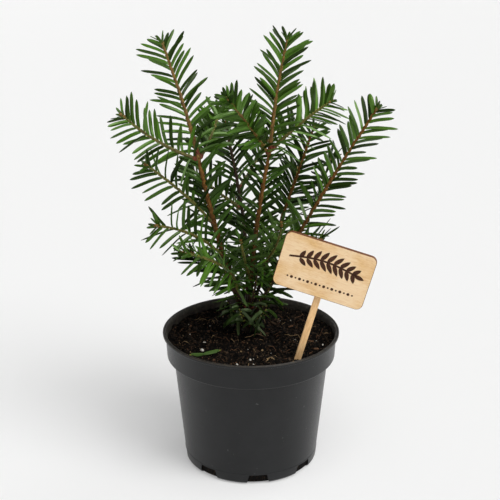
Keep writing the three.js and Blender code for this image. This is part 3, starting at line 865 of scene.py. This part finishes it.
def build_stick():
    half_w, half_t = STICK_WIDTH / 2, STICK_THICKNESS / 2
    quarter = [(half_w - STICK_CORNER, -half_t), (half_w, -half_t + STICK_CORNER),
               (half_w, half_t - STICK_CORNER), (half_w - STICK_CORNER, half_t)]
    section = quarter + [(-x, y) for x, y in reversed(quarter)]
    steps = 12
    points = []
    for k in range(steps + 1):
        points += [(x, y, STICK_LENGTH * k / steps - STICK_IN_SOIL) for x, y in section]
    faces = ring_faces(steps + 1, len(section))
    stick = mesh("stick_birch", points, faces, [STICK], smooth=False, matrix=LABEL_MATRIX)
    dress(stick, "label", "label_stick")


# ------------ the plant's rule

TRUNK_FOOT = (-1.9, 8.9)
TRUNK_RUN = (-42, 86, 14.5, 0, 0)  # azimuth, rise, length, lift and swing
TRUNK_RADIUS = 3.6
FLARE = 1.7  # the trunk's foot is thicker by this
FLARE_FADE = 5
FORK_RING = 3.4  # radius of the ring that the leaders start from
BOUGH = 18  # bare length of a leader, below its first needles
TAPER = 0.48  # share of its radius that a stem loses on the way to its tip

NEEDLE = 23.5  # length of a full-grown needle
SHORT_NEEDLE = 19.5  # and of those on two close shoots in the crown's middle
FOOT_NEEDLE = 16  # and of the drooping ones round the trunk's foot
WIDTH_OF = {NEEDLE: 2.5, SHORT_NEEDLE: 3.0, FOOT_NEEDLE: 4.0}
NARROWEST = 0.45  # share of that width that the smallest needles would keep
SPACING = 2.05  # between neighbours along the stem, both ranks counted
FIRST_NEEDLE = 3
CURVE = 38  # degrees that a needle bends outward
CURVE_FADE = 5  # how fast that bend fades away from its root
FOOT_DROOP = 1.0  # how far the needles round the trunk's foot bend down
SPREAD = 48  # degrees that a needle leans out of its rank at most
OPEN_AT_FOOT = 30  # degrees more that the needles open at a shoot's foot
CLOSE_AT_TIP = 14  # and less at its tip
OPENING_PLAY = 18  # degrees by which neighbours differ in that
ROLL_PLAY = 80  # and in how they are turned about their own length
YOUNG = 13  # the needles grow shorter over this last stretch of a shoot
YOUNG_SHARE = 0.2  # or over this share of a short one
YOUNGEST = 0.5  # share of the full length that the last needle has
SHORT_AT_FOOT = 0.2  # share of its length that a shoot's first needle lacks
SHORTEST = 0.84  # the least and the most of its due length that a needle has
LONGEST = 1.1
SPACING_PLAY = (0.7, 1.3)
STEPS = 24  # steps of a stem's line
NEEDLE_STEPS = 12
TUFT = 8  # young needles round the bud at a shoot's tip
TUFT_OPENING = (30, 62)
TUFT_SIZE = (0.24, 0.5)  # share of the full length
TUFT_DEPTH = 2.5  # how far behind the tip they start at most

# name, side of the trunk, share up the trunk, azimuth, rise, length, lift, swing, foot radius,
# azimuth and rise of the side that its needles face, needles' opening, spread and length
LEADERS = [
    ("left_leader", 198, 0.78, -150, 74, 132, 7, 15, 2.3, -95, 10, 57, SPREAD, NEEDLE),
    ("centre_leader", -90, 1.0, -23, 83, 127, -10, 0, 2.1, -85, 5, 55, SPREAD, NEEDLE),
    ("right_leader", -18, 0.78, 4, 61, 178, -6, -6, 1.6, -115, 12, 57, SPREAD, NEEDLE),
    ("right_back_leader", 54, 1.0, 29, 68, 143, 10, -54, 1.35, -100, 15, 60, SPREAD, NEEDLE),
    ("back_leader", 126, 1.0, 111, 69, 140, 8, 59, 1.6, -90, 5, 57, SPREAD, NEEDLE),
]

# name, grows from, share along it, azimuth, rise, length, lift, swing, foot radius,
# azimuth and rise of the side that its needles face, needles' opening, spread and length
SHOOTS = [
    ("left_top", "left_leader", 1, 140, 67, 82, -1, 20, 1.4, -80, 5, 57, SPREAD, NEEDLE),
    ("left_outer", "left_leader", 0.99, -167, 33, 61, 23, 8, 1.15, -85, 15, 60, SPREAD, NEEDLE),
    ("left_inner", "left_leader", 0.99, 71, 32, 48, -5, 19, 1.1, -80, 25, 57, 80, SHORT_NEEDLE),
    ("left_middle", "left_leader", 0.6, -152, 45, 71, -14, 9, 1.05, -90, 25, 57, SPREAD, NEEDLE),
    ("left_lower", "left_leader", 0.4, -135, 32, 73, -30, -1, 1.05, -85, 15, 57, SPREAD, NEEDLE),
    ("left_low", "left_leader", 0.12, -122, 40, 87, -43, -66, 1.2, -60, 50, 60, 60, NEEDLE),
    ("left_behind", "left_leader", 0.45, 112, 36, 54, 10, 0, 1.0, 20, 50, 57, SPREAD, NEEDLE),
    ("centre_top", "centre_leader", 1, 31, 80, 77, -10, -1, 1.4, -95, 5, 55, SPREAD, NEEDLE),
    ("centre_right", "centre_leader", 1, 12, 38, 54, -7, -22, 1.2, -100, 10, 60, SPREAD, NEEDLE),
    ("centre_left", "centre_leader", 0.98, -139, 50, 58, -8, 2, 1.2, -85, 10, 54, 85, SHORT_NEEDLE),
    ("front_left", "centre_leader", 0.22, -100, 47, 59, 2, 10, 1.0, 90, 70, 62, 80, NEEDLE),
    ("front_right", "centre_leader", 0.28, -59, 50, 59, 31, -40, 1.0, 90, 70, 62, 80, NEEDLE),
    ("right_front", "right_leader", 0.34, -38, 24, 26, 8, 0, 0.9, -80, 50, 57, SPREAD, NEEDLE),
    ("right_behind", "right_leader", 0.5, 66, 38, 50, 8, 0, 1.0, 160, 50, 57, SPREAD, NEEDLE),
    ("right_back_outer", "right_back_leader", 0.5, 72, 34, 50, 10, 0, 1.0, 0, 60, 57, SPREAD, NEEDLE),
    ("right_back_low", "right_back_leader", 0.13, 42, 24, 54, 14, 0, 1.0, -60, 70, 57, SPREAD, NEEDLE),
    ("back_outer", "back_leader", 0.34, 100, 26, 58, 16, 0, 1.05, 10, 70, 57, SPREAD, NEEDLE),
    ("back_left", "back_leader", 0.55, 168, 36, 46, 8, 0, 1.0, -90, 50, 57, SPREAD, NEEDLE),
    ("back_right", "back_leader", 0.66, 52, 40, 46, 8, 0, 1.0, -90, 50, 57, SPREAD, NEEDLE),
    ("back_low", "back_leader", 0.12, 150, 22, 52, 18, 0, 1.0, -60, 75, 57, SPREAD, NEEDLE),
    ("low_left", "trunk", 1, -136, 60, 52, 10, 0, 1.0, -110, 10, 68, 85, NEEDLE),
    ("low_front", "trunk", 1, -78, 57, 50, 10, 0, 1.0, -90, 10, 68, 85, NEEDLE),
    ("low_right", "trunk", 0.94, -24, 58, 46, 10, 0, 1.0, -70, 10, 68, 85, NEEDLE),
    ("base_left", "trunk", 0.39, 170, 50, 27, 30, 0, 0.9, 175, -5, 100, 88, FOOT_NEEDLE),
    ("base_front", "trunk", 0.34, -108, 46, 30, 30, 0, 0.9, -115, -5, 104, 88, FOOT_NEEDLE),
    ("base_right", "trunk", 0.39, -50, 46, 30, 30, 0, 0.9, -65, -5, 104, 88, FOOT_NEEDLE),
    ("base_side", "trunk", 0.39, 18, 50, 27, 30, 0, 0.9, 10, -5, 100, 88, FOOT_NEEDLE),
    ("base_back", "trunk", 0.39, 90, 50, 27, 30, 0, 0.9, 90, -5, 100, 88, FOOT_NEEDLE),
    ("foot_front", "trunk", 0.24, -80, 36, 18, 20, 0, 0.8, -95, 20, 85, 88, FOOT_NEEDLE),
    ("foot_left", "trunk", 0.3, -150, 48, 20, 0, 0, 0.8, -120, 20, 75, 70, FOOT_NEEDLE),
]

FROM_TRUNK = ("low_", "base_", "foot_")  # how the names of the shoots from the trunk begin

# Which shoots have which wood and needle tone. The rest have green wood, or dark if they grow from
# the trunk, and dark needles. The darker needle tones are painted shade, the lightest painted light.
WOODS = {
    "old": "left_leader centre_leader right_leader right_back_leader",
    "dark": "back_leader",
    "young": "left_top centre_top centre_left",
}
NEEDLE_TONES = {
    "green": "left_low left_lower left_inner left_outer left_top centre_left centre_top front_right "
             "right_leader",
    "painted_light": "centre_right",
    "waxy": "base_front base_right base_left foot_front foot_left",
    "painted_shade": "right_back_outer back_outer back_low base_side base_back low_right",
}

# How far apart the needles of a shoot stand, as a share of the common spacing
SPACING_OF = {
    "centre_right": 0.62, "left_inner": 0.5, "centre_left": 0.42, "centre_top": 0.76, "left_outer": 0.9,
    "left_leader": 0.88, "left_middle": 1.35, "left_lower": 1.4, "right_leader": 1.1,
    "base_left": 1.3, "base_front": 1.4, "base_right": 1.4, "base_side": 1.5, "base_back": 1.4,
    "foot_front": 1.1, "foot_left": 1.1, "low_left": 1.1, "low_front": 1.4, "low_right": 1.1,
}

# Shoots whose upper rank of needles is broad and turned to the light: azimuth and rise of the sides
# that the upper and the lower rank face.
LIT_SHOOTS = {"right_leader": ((-63, 28), None), "centre_right": ((-63, 28), (-45, 70))}
LIT_WIDTH = 1.4


def kind_of(name, kinds, usual):
    """The kind that lists the name, or else the usual one."""
    return next((kind for kind, names in kinds.items() if name in names.split()), usual)


def wood_of(name):
    return kind_of(name, WOODS, "dark" if name.startswith(FROM_TRUNK) else "green")


def tone_of(name):
    return kind_of(name, NEEDLE_TONES, "dark")


def stem_line(start, azimuth, rise, length, lift, swing):
    """A stem's line: it rises by lift and turns by swing, evenly, from its foot to its tip."""
    points = [np.array(start, float)]
    for i in range(STEPS):
        t = (i + 0.5) / STEPS - 0.5
        points.append(points[-1] + direction(azimuth + swing * t, rise + lift * t) * length / STEPS)
    return np.array(points)


def along(line, share):
    """The point and the direction at a share of a line of points."""
    last = len(line) - 1
    place = min(max(share, 0), 1) * last
    i = min(int(place), last - 1)
    ahead = line[i + 1] - line[i]
    return line[i] + ahead * (place - i), unit(ahead)


class Shoot:
    """A stem and the rule for its needles, from the numbers of its row in the tables."""

    def __init__(self, name, start, numbers, bare):
        (azimuth, rise, self.length, lift, swing, self.radius,
         face_azimuth, face_rise, self.opening, self.spread, self.needle) = numbers
        self.name, self.bare = name, bare
        self.line = stem_line(start, azimuth, rise, self.length, lift, swing)
        self.face = direction(face_azimuth, face_rise)
        self.spacing = SPACING * SPACING_OF.get(name, 1)
        self.buried = 0  # length of its foot inside its parent

    def radius_at(self, place):
        return self.radius * (1 - TAPER * place / self.length)

    def at(self, place):
        """A point of the stem, the way ahead, the needles' upper side and the way across."""
        point, ahead = along(self.line, place / self.length)
        upper = unit(self.face - ahead * (self.face @ ahead))
        return point, ahead, upper, np.cross(ahead, upper)


def needle_line(root, ahead, outward, opening, size, droop=0.0):
    """A needle leaves its stem at a small angle and bends outward, and an old one also down."""
    points = [root]
    for k in range(NEEDLE_STEPS):
        share = (k + 0.5) / NEEDLE_STEPS
        angle = opening - math.radians(CURVE) * (1 - share) ** CURVE_FADE
        heading = unit(turned_from(ahead, outward, angle) - UP * droop * share)
        points.append(points[-1] + heading * size / NEEDLE_STEPS)
    return np.array(points)


def needles_of(shoot, seed):
    """The needles of one shoot, from its foot to its tip, in two ranks by turns."""
    draw = random_from(seed)
    droop = FOOT_DROOP if shoot.needle == FOOT_NEEDLE else 0
    needles = []
    place = shoot.bare + FIRST_NEEDLE
    side = 1
    while place < shoot.length:
        point, ahead, upper, across = shoot.at(place)
        age = (shoot.length - place) / (shoot.length - shoot.bare)  # 1 at the foot, 0 at the tip
        grown = min(1, (shoot.length - place) / min(YOUNG, YOUNG_SHARE * shoot.length))
        lean = math.radians((draw() + draw() - 1) * shoot.spread)
        opening = math.radians(shoot.opening + OPEN_AT_FOOT * age ** 4 - CLOSE_AT_TIP * (1 - grown)
                               + (draw() - 0.5) * OPENING_PLAY)
        due = shoot.needle * (YOUNGEST + (1 - YOUNGEST) * grown) * (1 - SHORT_AT_FOOT * age ** 6)
        size = due * draw(SHORTEST, LONGEST)
        roll = math.radians((draw() - 0.5) * ROLL_PLAY)
        outward = turned_from(across * side, upper, lean)
        face = LIT_SHOOTS.get(shoot.name, (None, None))[side > 0]
        needles.append({
            "line": needle_line(point, ahead, outward, opening, size, droop),
            "upper": direction(*face) if face else upper, "roll": roll, "place": place, "size": size,
            "outward": outward, "lit": side < 0 and shoot.name in LIT_SHOOTS})
        place += shoot.spacing * draw(*SPACING_PLAY)
        side = -side
    return needles + ([] if shoot.needle == FOOT_NEEDLE else tuft_of(shoot, draw))


def tuft_of(shoot, draw):
    """Short young needles that stand round the bud at a shoot's tip."""
    point, ahead, upper, across = shoot.at(shoot.length)
    needles = []
    for k in range(TUFT):
        outward = turned_from(across, upper, 2 * math.pi * (k + 0.5 * draw()) / TUFT)
        opening = math.radians(draw(*TUFT_OPENING))
        size = shoot.needle * draw(*TUFT_SIZE)
        root = point - ahead * draw(0, TUFT_DEPTH)
        needles.append({"line": needle_line(root, ahead, outward, opening, size), "upper": -outward,
                        "roll": 0, "place": shoot.length, "size": size, "outward": outward, "lit": False})
    return needles


TRUNK_LINE = stem_line((*TRUNK_FOOT, SOIL_AT_TRUNK + GAP), *TRUNK_RUN)


def grow_shoots():
    """Every leader and shoot by its name, each starting on its parent's line."""
    grown = {}
    for name, side, share, *numbers in LEADERS:
        foot = along(TRUNK_LINE, share)[0] + direction(side, 0) * FORK_RING
        grown[name] = Shoot(name, foot, numbers, BOUGH)
    for name, parent, share, *numbers in SHOOTS:
        stem = grown.get(parent)
        start, ahead = along(stem.line if stem else TRUNK_LINE, share)
        shoot = Shoot(name, start, numbers, 0)
        thick = stem.radius_at(share * stem.length) if stem else TRUNK_RADIUS
        leaning = np.linalg.norm(np.cross(ahead, along(shoot.line, 0)[1]))
        shoot.buried = thick / max(leaning, 0.6)
        grown[name] = shoot
    return grown


shoots = grow_shoots()


# ------------ room for the needles

SHARES = (1, 0.82, 0.64)  # of a needle that are tried in turn, until one is clear
ROOM_TO_SOIL = 0.5
ROOM_TO_WALL = 1.5
ROOM_TO_PLATE = 1.0
ROOM_TO_STICK = 1.2
ROOM_TO_STEMS = 0.25
ROOM_TO_NEEDLES = 0.3


class Room:
    """What stands in a needle's way: stems, needles of other shoots, the label, pot and soil."""

    def __init__(self):
        rows = [(TRUNK_LINE[i], TRUNK_LINE[i + 1], TRUNK_RADIUS, -1) for i in range(STEPS)]
        for index, shoot in enumerate(shoots.values()):
            for i in range(STEPS):
                radius = shoot.radius_at(shoot.length * (i + 0.5) / STEPS)
                rows.append((shoot.line[i], shoot.line[i + 1], radius, index))
        self.stems = [np.array(column, float) for column in zip(*rows)]
        self.needles = [np.zeros((0, 3)), np.zeros((0, 3)), np.zeros(0), np.zeros(0)]
        self.to_label = LABEL_MATRIX.inverted()

    def clear_share(self, index, needle):
        """How much of a needle is clear of everything that isn't its own shoot."""
        for share in SHARES:
            piece = np.array([along(needle["line"], share * k / 6)[0] for k in range(7)])
            if self.is_clear(index, piece):
                return share, piece
        return 0, None

    def is_clear(self, index, piece):
        wall = COLLAR_FOOT_RADIUS - WALL - ROOM_TO_WALL
        for x, y, z in piece:
            if z < POT_HEIGHT + 1 and math.hypot(x, y) > wall:
                return False
            if z < SOIL_AT_TRUNK + 5 and z < soil_level(x, y) + ROOM_TO_SOIL:
                return False
        if any(self.in_label(along(piece, k / 12)[0]) for k in range(13)):
            return False
        for solids, room in ((self.stems, ROOM_TO_STEMS), (self.needles, ROOM_TO_NEEDLES)):
            starts, ends, radii, owners = solids
            other = owners != index
            if other.any():
                gaps = segment_gaps(piece[:-1], piece[1:], starts[other], ends[other])
                if (gaps < radii[other] + room).any():
                    return False
        return True

    def in_label(self, point):
        x, y, z = self.to_label @ (Vector(point) * MM) / MM
        half_stick = STICK_THICKNESS / 2
        beside = abs(x - PLATE_SHIFT) - PLATE_WIDTH / 2, abs(z - PLATE_CENTRE) - PLATE_HEIGHT / 2
        if max(beside) < ROOM_TO_PLATE and PLATE_FRONT - ROOM_TO_STICK < y < half_stick + ROOM_TO_PLATE:
            return True
        beside = abs(x) - STICK_WIDTH / 2, abs(y) - half_stick
        return max(beside) < ROOM_TO_STICK and z < STICK_LENGTH

    def take(self, index, piece):
        count = len(piece) - 1
        new = [piece[:-1], piece[1:], np.zeros(count), np.full(count, float(index))]
        self.needles = [np.concatenate([old, more]) for old, more in zip(self.needles, new)]


def segment_gaps(a0, a1, b0, b1):
    """The smallest distance from each segment b to any segment a."""
    d1 = (a1 - a0)[:, None]
    d2 = (b1 - b0)[None]
    r = a0[:, None] - b0[None]
    a = (d1 * d1).sum(-1)
    e = np.maximum((d2 * d2).sum(-1), 1e-9)
    b = (d1 * d2).sum(-1)
    c = (d1 * r).sum(-1)
    f = (d2 * r).sum(-1)
    s = np.clip((b * f - c * e) / np.maximum(a * e - b * b, 1e-9), 0, 1)
    t = np.clip((b * s + f) / e, 0, 1)
    s = np.clip((b * t - c) / np.maximum(a, 1e-9), 0, 1)
    gap = r + d1 * s[..., None] - d2 * t[..., None]
    return np.sqrt((gap * gap).sum(-1)).min(0)


# ------------ needles as meshes

# Rings along a needle: place, share of its full width, share of its full thickness.
NEEDLE_RINGS = [
    (0.0, 0.36, 0.9), (0.055, 0.36, 0.9), (0.085, 0.52, 0.95), (0.125, 0.82, 1.0), (0.22, 0.96, 1.0),
    (0.42, 1.0, 1.0), (0.64, 1.0, 1.0), (0.8, 0.93, 0.9), (0.9, 0.72, 0.75), (0.96, 0.42, 0.5),
    (1.0, 0.06, 0.2),
]
# Its cross-section in half widths: a shallow roof above with a rib along it, hollow bands below.
NEEDLE_SECTION = [
    (1.0, 0.0), (0.6, 0.25), (0.14, 0.44), (0.0, 0.54), (-0.14, 0.44), (-0.6, 0.25), (-1.0, 0.0),
    (-0.62, -0.08), (-0.15, 0.04), (0.0, -0.05), (0.15, 0.04), (0.62, -0.08),
]
UPPER_FACES = 6
FOOT_RINGS = 2
NEEDLE_CREASE = 32
UNDER, FOOT = len(LIT_AND_SHADED), len(LIT_AND_SHADED) + 1


def needle_part(needle, share, width, shade):
    line = needle["line"]
    axis = unit(along(line, share)[0] - line[0])
    level = unit(np.cross(needle["upper"], axis))
    across = turned_from(level, np.cross(axis, level), needle["roll"])
    half = width / 2 * (NARROWEST + (1 - NARROWEST) * min(1, needle["size"] / FOOT_NEEDLE))
    points = []
    for place, fullness, thickness in NEEDLE_RINGS:
        centre, ahead = along(line, place * share)
        flat = unit(across - ahead * (across @ ahead))
        rise = np.cross(ahead, flat)
        for x, z in NEEDLE_SECTION:
            points.append(centre + flat * x * fullness * half + rise * z * thickness * half)
    sides = len(NEEDLE_SECTION)
    bare = [shade] * UPPER_FACES + [UNDER] * (sides - UPPER_FACES)
    slots = [FOOT] * sides * FOOT_RINGS + bare * (len(NEEDLE_RINGS) - 1 - FOOT_RINGS) + [FOOT, shade]
    return points, ring_faces(len(NEEDLE_RINGS), sides), slots


def build_needles():
    """One mesh for each tone. Returns the needles that there was room for, by shoot."""
    room = Room()
    parts = {tone: [] for tone in TONES}
    kept = {}
    for index, (name, shoot) in enumerate(shoots.items()):
        shade_draw = random_from(5000 + index)
        kept[name] = []
        for needle in needles_of(shoot, 1000 + 17 * index):
            # Each needle takes one of the painted lit and shaded copies at random.
            shade = int(shade_draw() * len(LIT_AND_SHADED))
            share, piece = room.clear_share(index, needle)
            if share:
                room.take(index, piece)
                width = WIDTH_OF[shoot.needle] * (LIT_WIDTH if needle["lit"] else 1)
                parts[tone_of(name)].append(needle_part(needle, share, width, shade))
                kept[name].append(needle)
    for tone, group in parts.items():
        obj = join(f"needles_{tone}", group, needle_materials(tone), NEEDLE_CREASE)
        dress(obj, "needles", *[f"spray_{name}" for name in shoots if tone_of(name) == tone])
    return kept


# Two needles lie on the peat: where the foot and the tip of each are.
FALLEN = [((-43.7, -35.4), (-32.1, -31.2)), ((-21.9, -27.8), (-34.1, -34.5))]
FALLEN_LIFT = 1.3


def build_fallen_needles():
    parts = []
    for ends in FALLEN:
        foot, tip = (np.array((x, y, soil_level(x, y) + FALLEN_LIFT)) for x, y in ends)
        line = np.array([foot + (tip - foot) * k / NEEDLE_STEPS for k in range(NEEDLE_STEPS + 1)])
        needle = {"line": line, "upper": direction(-90, 40), "roll": 0, "size": FOOT_NEEDLE}
        # They take the lightest copy, which is painted light.
        parts.append(needle_part(needle, 1, WIDTH_OF[NEEDLE], len(LIT_AND_SHADED) - 1))
    fallen = join("needles_fallen", parts, needle_materials("waxy"), NEEDLE_CREASE)
    dress(fallen, "needles", "soil")


# ------------ stems as meshes

STEM_SIDES = 14
STEM_RING_GAP = 0.9
STEM_RELIEF = 0.16  # as a share of its radius
BARK_WAVES = 0.9  # in a millimetre of bark
RIDGE_LENGTH = 4.6
RIDGE_HALF_WIDTH = 0.58
RIDGE_HEIGHT = 0.42
RIDGE_SEAT = 0.94  # share of the stem's radius that a ridge starts from
RIDGE_SECTION = [(-1.0, -0.4), (1.0, -0.4), (0.72, 0.45), (0.0, 1.0), (-0.72, 0.45)]
# Rings along a ridge: place, share of its full width, share of its full height.
RIDGE_RINGS = [(0.0, 0.1, 0.05), (0.35, 0.7, 0.5), (0.7, 1.0, 0.9), (0.92, 0.9, 1.25), (1.06, 0.3, 1.2)]
SCALE_ROWS = [(0.0, 0.55), (0.35, 1.0), (0.7, 0.72), (1.0, 0.06)]  # place, share of its full width
SCALE_THICKNESS = 0.14
SCALE_ROUNDNESS = 0.3
BUD_SIZE = (1.3, 1.8)
BUD_OPENING = (0.35, 0.55)
NODE_OPENING = (0.5, 1.0)


def stem_part(shoot, start, seed):
    """A tapering stem with a little relief, closed at both ends."""
    count = max(6, int((shoot.length - start) / STEM_RING_GAP))
    points = []
    for k in range(count + 1):
        place = start + (shoot.length - start) * k / count
        centre, _, upper, across = shoot.at(place)
        radius = shoot.radius_at(place)
        for c, s in circle(STEM_SIDES):
            out = across * c + upper * s
            spot = centre + out * radius
            wobble = noise.fractal(Vector(spot * BARK_WAVES) + Vector((seed, 0, 0)), 0.8, 2.1, 3)
            points.append(spot + out * wobble * STEM_RELIEF * radius)
    return points, ring_faces(count + 1, STEM_SIDES), 0


def ridge_part(shoot, needle):
    """The raised strip that runs down the stem from a needle's foot."""
    start = max(0, needle["place"] - RIDGE_LENGTH)
    run = needle["place"] - start
    points = []
    for share, width, rise in RIDGE_RINGS:
        place = min(start + run * share, shoot.length)
        centre, ahead = along(shoot.line, place / shoot.length)
        out = unit(needle["outward"] - ahead * (needle["outward"] @ ahead))
        side = np.cross(out, ahead)
        foot = centre + out * shoot.radius_at(place) * RIDGE_SEAT
        for x, z in RIDGE_SECTION:
            points.append(foot + side * x * width * RIDGE_HALF_WIDTH + out * z * rise * RIDGE_HEIGHT)
    return points, ring_faces(len(RIDGE_RINGS), len(RIDGE_SECTION)), 1


def scale_part(root, ahead, outward, length, width, opening, slot):
    """One small pointed scale, curved round the bud that it lies on."""
    side = np.cross(ahead, outward)
    points = []
    for lift in (SCALE_THICKNESS, 0.0):
        for place, wide in SCALE_ROWS:
            bend = opening * (1 - 0.75 * place)
            middle = root + turned_from(ahead, outward, bend) * place * length + outward * lift
            for x in (-1, 0, 1):
                sunk = abs(x) * SCALE_ROUNDNESS * width * wide
                points.append(middle + side * x * wide * width / 2 - outward * sunk)
    return points, sheet_faces(len(SCALE_ROWS), 3), slot


def bud_parts(shoot, seed):
    """The bud at a shoot's tip: overlapping scales in four rows round a short core."""
    draw = random_from(seed)
    tip, ahead, upper, across = shoot.at(shoot.length)
    size = draw(*BUD_SIZE)
    core = np.array([tip - ahead * 0.8, tip + ahead * 0.6 * size, tip + ahead * 1.9 * size])
    parts = [tube(core, [0.5 * size, 0.62 * size, 0.12], 8)]
    for row in range(4):
        for k in range(4):
            outward = turned_from(across, upper, 2 * math.pi * (k + 0.5 * row) / 4 + draw(0, 0.3))
            root = tip + ahead * (row * 0.42 - 0.5) * size + outward * (0.55 - 0.08 * row) * size
            parts.append(scale_part(root, ahead, outward, 1.5 * size, size, draw(*BUD_OPENING), 0))
    return parts


def node_parts(shoot, seed, large):
    """Old bud scales that ring the foot of a shoot."""
    draw = random_from(seed)
    rings, count, length = (3, 7, 2.0) if large else (2, 5, 1.4)
    parts = []
    for row in range(rings):
        place = shoot.buried + row
        centre, ahead, upper, across = shoot.at(place)
        for k in range(count):
            outward = turned_from(across, upper, 2 * math.pi * (k + 0.5 * row + 0.5 * draw()) / count)
            root = centre + outward * shoot.radius_at(place) * 0.9
            parts.append(scale_part(root, ahead, outward, length * draw(0.8, 1.2), draw(0.9, 1.3),
                                    draw(*NODE_OPENING), 1))
    return parts


def build_stems(kept):
    """Stems and the ridges below their needles, one mesh for each kind of wood."""
    for kind, material in BARKS.items():
        names = [name for name in shoots if wood_of(name) == kind]
        parts = []
        for index, name in enumerate(names):
            shoot = shoots[name]
            parts.append(stem_part(shoot, max(0, shoot.bare - 1), index * 10.0))
            parts += [ridge_part(shoot, needle) for needle in kept[name] if needle["place"] < shoot.length]
        obj = join(f"stems_{kind}", parts, [material, RIDGES[kind]])
        dress(obj, "bark", *[f"spray_{name}" for name in names])


def build_buds():
    """A bud on each tip in the crown, and old scales round the foot of every shoot."""
    forked = ("left_leader", "centre_leader")
    ends = [name for name in shoots if name not in forked and not name.startswith(FROM_TRUNK)]
    parts = []
    for index, name in enumerate(ends):
        parts += bud_parts(shoots[name], 900 + index)
    for index, (name, _, share, *_) in enumerate(SHOOTS):
        parts += node_parts(shoots[name], 700 + index, share >= 0.98)
    buds = join("bud_scales", parts, [BUD, NODE_SCALE])
    dress(buds, "bark", *[f"spray_{name}" for name in ends])


TRUNK_SIDES = 28
TRUNK_RINGS = 24
BOUGH_SIDES = 20
BOUGH_RINGS = 12
BARK_VOXEL = 0.36
BARK_RELIEF = 0.32
BARK_WAVES_UP = 0.33  # and in a millimetre of height on the trunk


def build_trunk():
    """Trunk and boughs as one skin, with their forks run together, and bark relief on it."""
    shares = [k / TRUNK_RINGS for k in range(TRUNK_RINGS + 1)]
    line = np.array([along(TRUNK_LINE, share)[0] for share in shares])
    radii = [TRUNK_RADIUS + FLARE * math.exp(-FLARE_FADE * share) for share in shares]
    parts = [tube(line, radii, TRUNK_SIDES)]
    for name, *_ in LEADERS:
        shoot = shoots[name]
        places = [(BOUGH + 1) * k / BOUGH_RINGS for k in range(BOUGH_RINGS + 1)]
        bough = np.array([along(shoot.line, place / shoot.length)[0] for place in places])
        parts.append(tube(bough, [shoot.radius_at(place) for place in places], BOUGH_SIDES))
    trunk = join("trunk_bark", parts, [BARKS["old"]])
    remesh = trunk.modifiers.new("skin", "REMESH")
    remesh.mode = "VOXEL"
    remesh.voxel_size = BARK_VOXEL * MM
    smooth = trunk.modifiers.new("smooth", "SMOOTH")
    smooth.factor = 0.5
    smooth.iterations = 6
    apply_modifiers(trunk)
    data = trunk.data
    moves = []
    for vertex in data.vertices:
        x, y, z = vertex.co / MM
        waves = Vector((x * BARK_WAVES, y * BARK_WAVES, z * BARK_WAVES_UP))
        plates = noise.fractal(waves, 0.8, 2.2, 4)
        moves.append(vertex.co + vertex.normal * (plates * BARK_RELIEF * MM))
    data.vertices.foreach_set("co", np.array(moves).ravel())
    data.polygons.foreach_set("use_smooth", np.full(len(data.polygons), True))
    dress(trunk, "bark", "trunk", *[name.replace("leader", "bough") for name, *_ in LEADERS])


# ------------ studio

# Lights: where each comes from, its strength and how many degrees wide it is
SUNS = {
    "key": ((0.83, -0.6, 1.0), 1.5, 34),
    "top": ((0.15, -0.3, 1.0), 1.6, 50),
    "rim": ((1.0, 0.85, 0.45), 0.75, 35),
}
WORLD_STRENGTH = 0.03
PAPER_COLOR = (0.62, 0.62, 0.617)
PAPER_GLOW = 0.305
PAPER_DROP = 0.05  # below the pot
FLOOR_RADIUS = 5000
WALL_BEND = 1500
WALL_TOP = 2400
SENSOR = 36
LENS = 79.2
CAMERA_PLACE = (-0.0007, -0.7459, 0.432)  # in metres
CAMERA_DIP = 0.345  # radians below level


def build_floor():
    """A pale paper floor that curves up all round."""
    paper = new_material("paper_floor", PAPER_COLOR, 0.9, 0.1)
    shader = paper.node_tree.nodes["Principled BSDF"]
    shader.inputs["Emission Color"].default_value = (1, 1, 1, 1)
    shader.inputs["Emission Strength"].default_value = PAPER_GLOW
    profile = [(0.001, 0), (FLOOR_RADIUS, 0)]
    for k in range(1, 13):
        a = math.pi / 2 * k / 12
        profile.append((FLOOR_RADIUS + WALL_BEND * math.sin(a), WALL_BEND * (1 - math.cos(a))))
    profile.append((FLOOR_RADIUS + WALL_BEND, WALL_TOP))
    around = circle(96)
    points = [(r * c, r * s, z - PAPER_DROP) for r, z in profile for c, s in around]
    mesh("paper_floor", points, ring_faces(len(profile), len(around), close_end=False), [paper])


def build_lights():
    """A large soft light from the right, one from above and a weaker one from behind."""
    scene = bpy.context.scene
    scene.view_settings.view_transform = "Standard"
    scene.world = bpy.data.worlds.new("studio")
    scene.world.use_nodes = True
    background = scene.world.node_tree.nodes["Background"]
    background.inputs["Color"].default_value = (1, 1, 1, 1)
    background.inputs["Strength"].default_value = WORLD_STRENGTH
    for name, (towards, energy, angle) in SUNS.items():
        light = bpy.data.lights.new(name, "SUN")
        light.energy = energy
        light.angle = math.radians(angle)
        sun = bpy.data.objects.new(name, light)
        sun.rotation_euler = Vector(towards).to_track_quat("Z", "Y").to_euler()
        scene.collection.objects.link(sun)


def build_camera():
    data = bpy.data.cameras.new("camera")
    data.sensor_width = SENSOR
    data.lens = LENS
    data.clip_start = 0.05
    data.clip_end = 20
    camera = bpy.data.objects.new("camera", data)
    camera.location = CAMERA_PLACE
    camera.rotation_euler = (math.pi / 2 - CAMERA_DIP, 0, 0)
    bpy.context.scene.collection.objects.link(camera)
    bpy.context.scene.camera = camera


build_camera()
build_floor()
build_lights()
build_pot()
build_soil()
build_soil_litter()
build_plate()
build_burnt_sprig()
build_stick()
kept_needles = build_needles()
build_fallen_needles()
build_stems(kept_needles)
build_buds()
build_trunk()

bpy.context.view_layer.update()
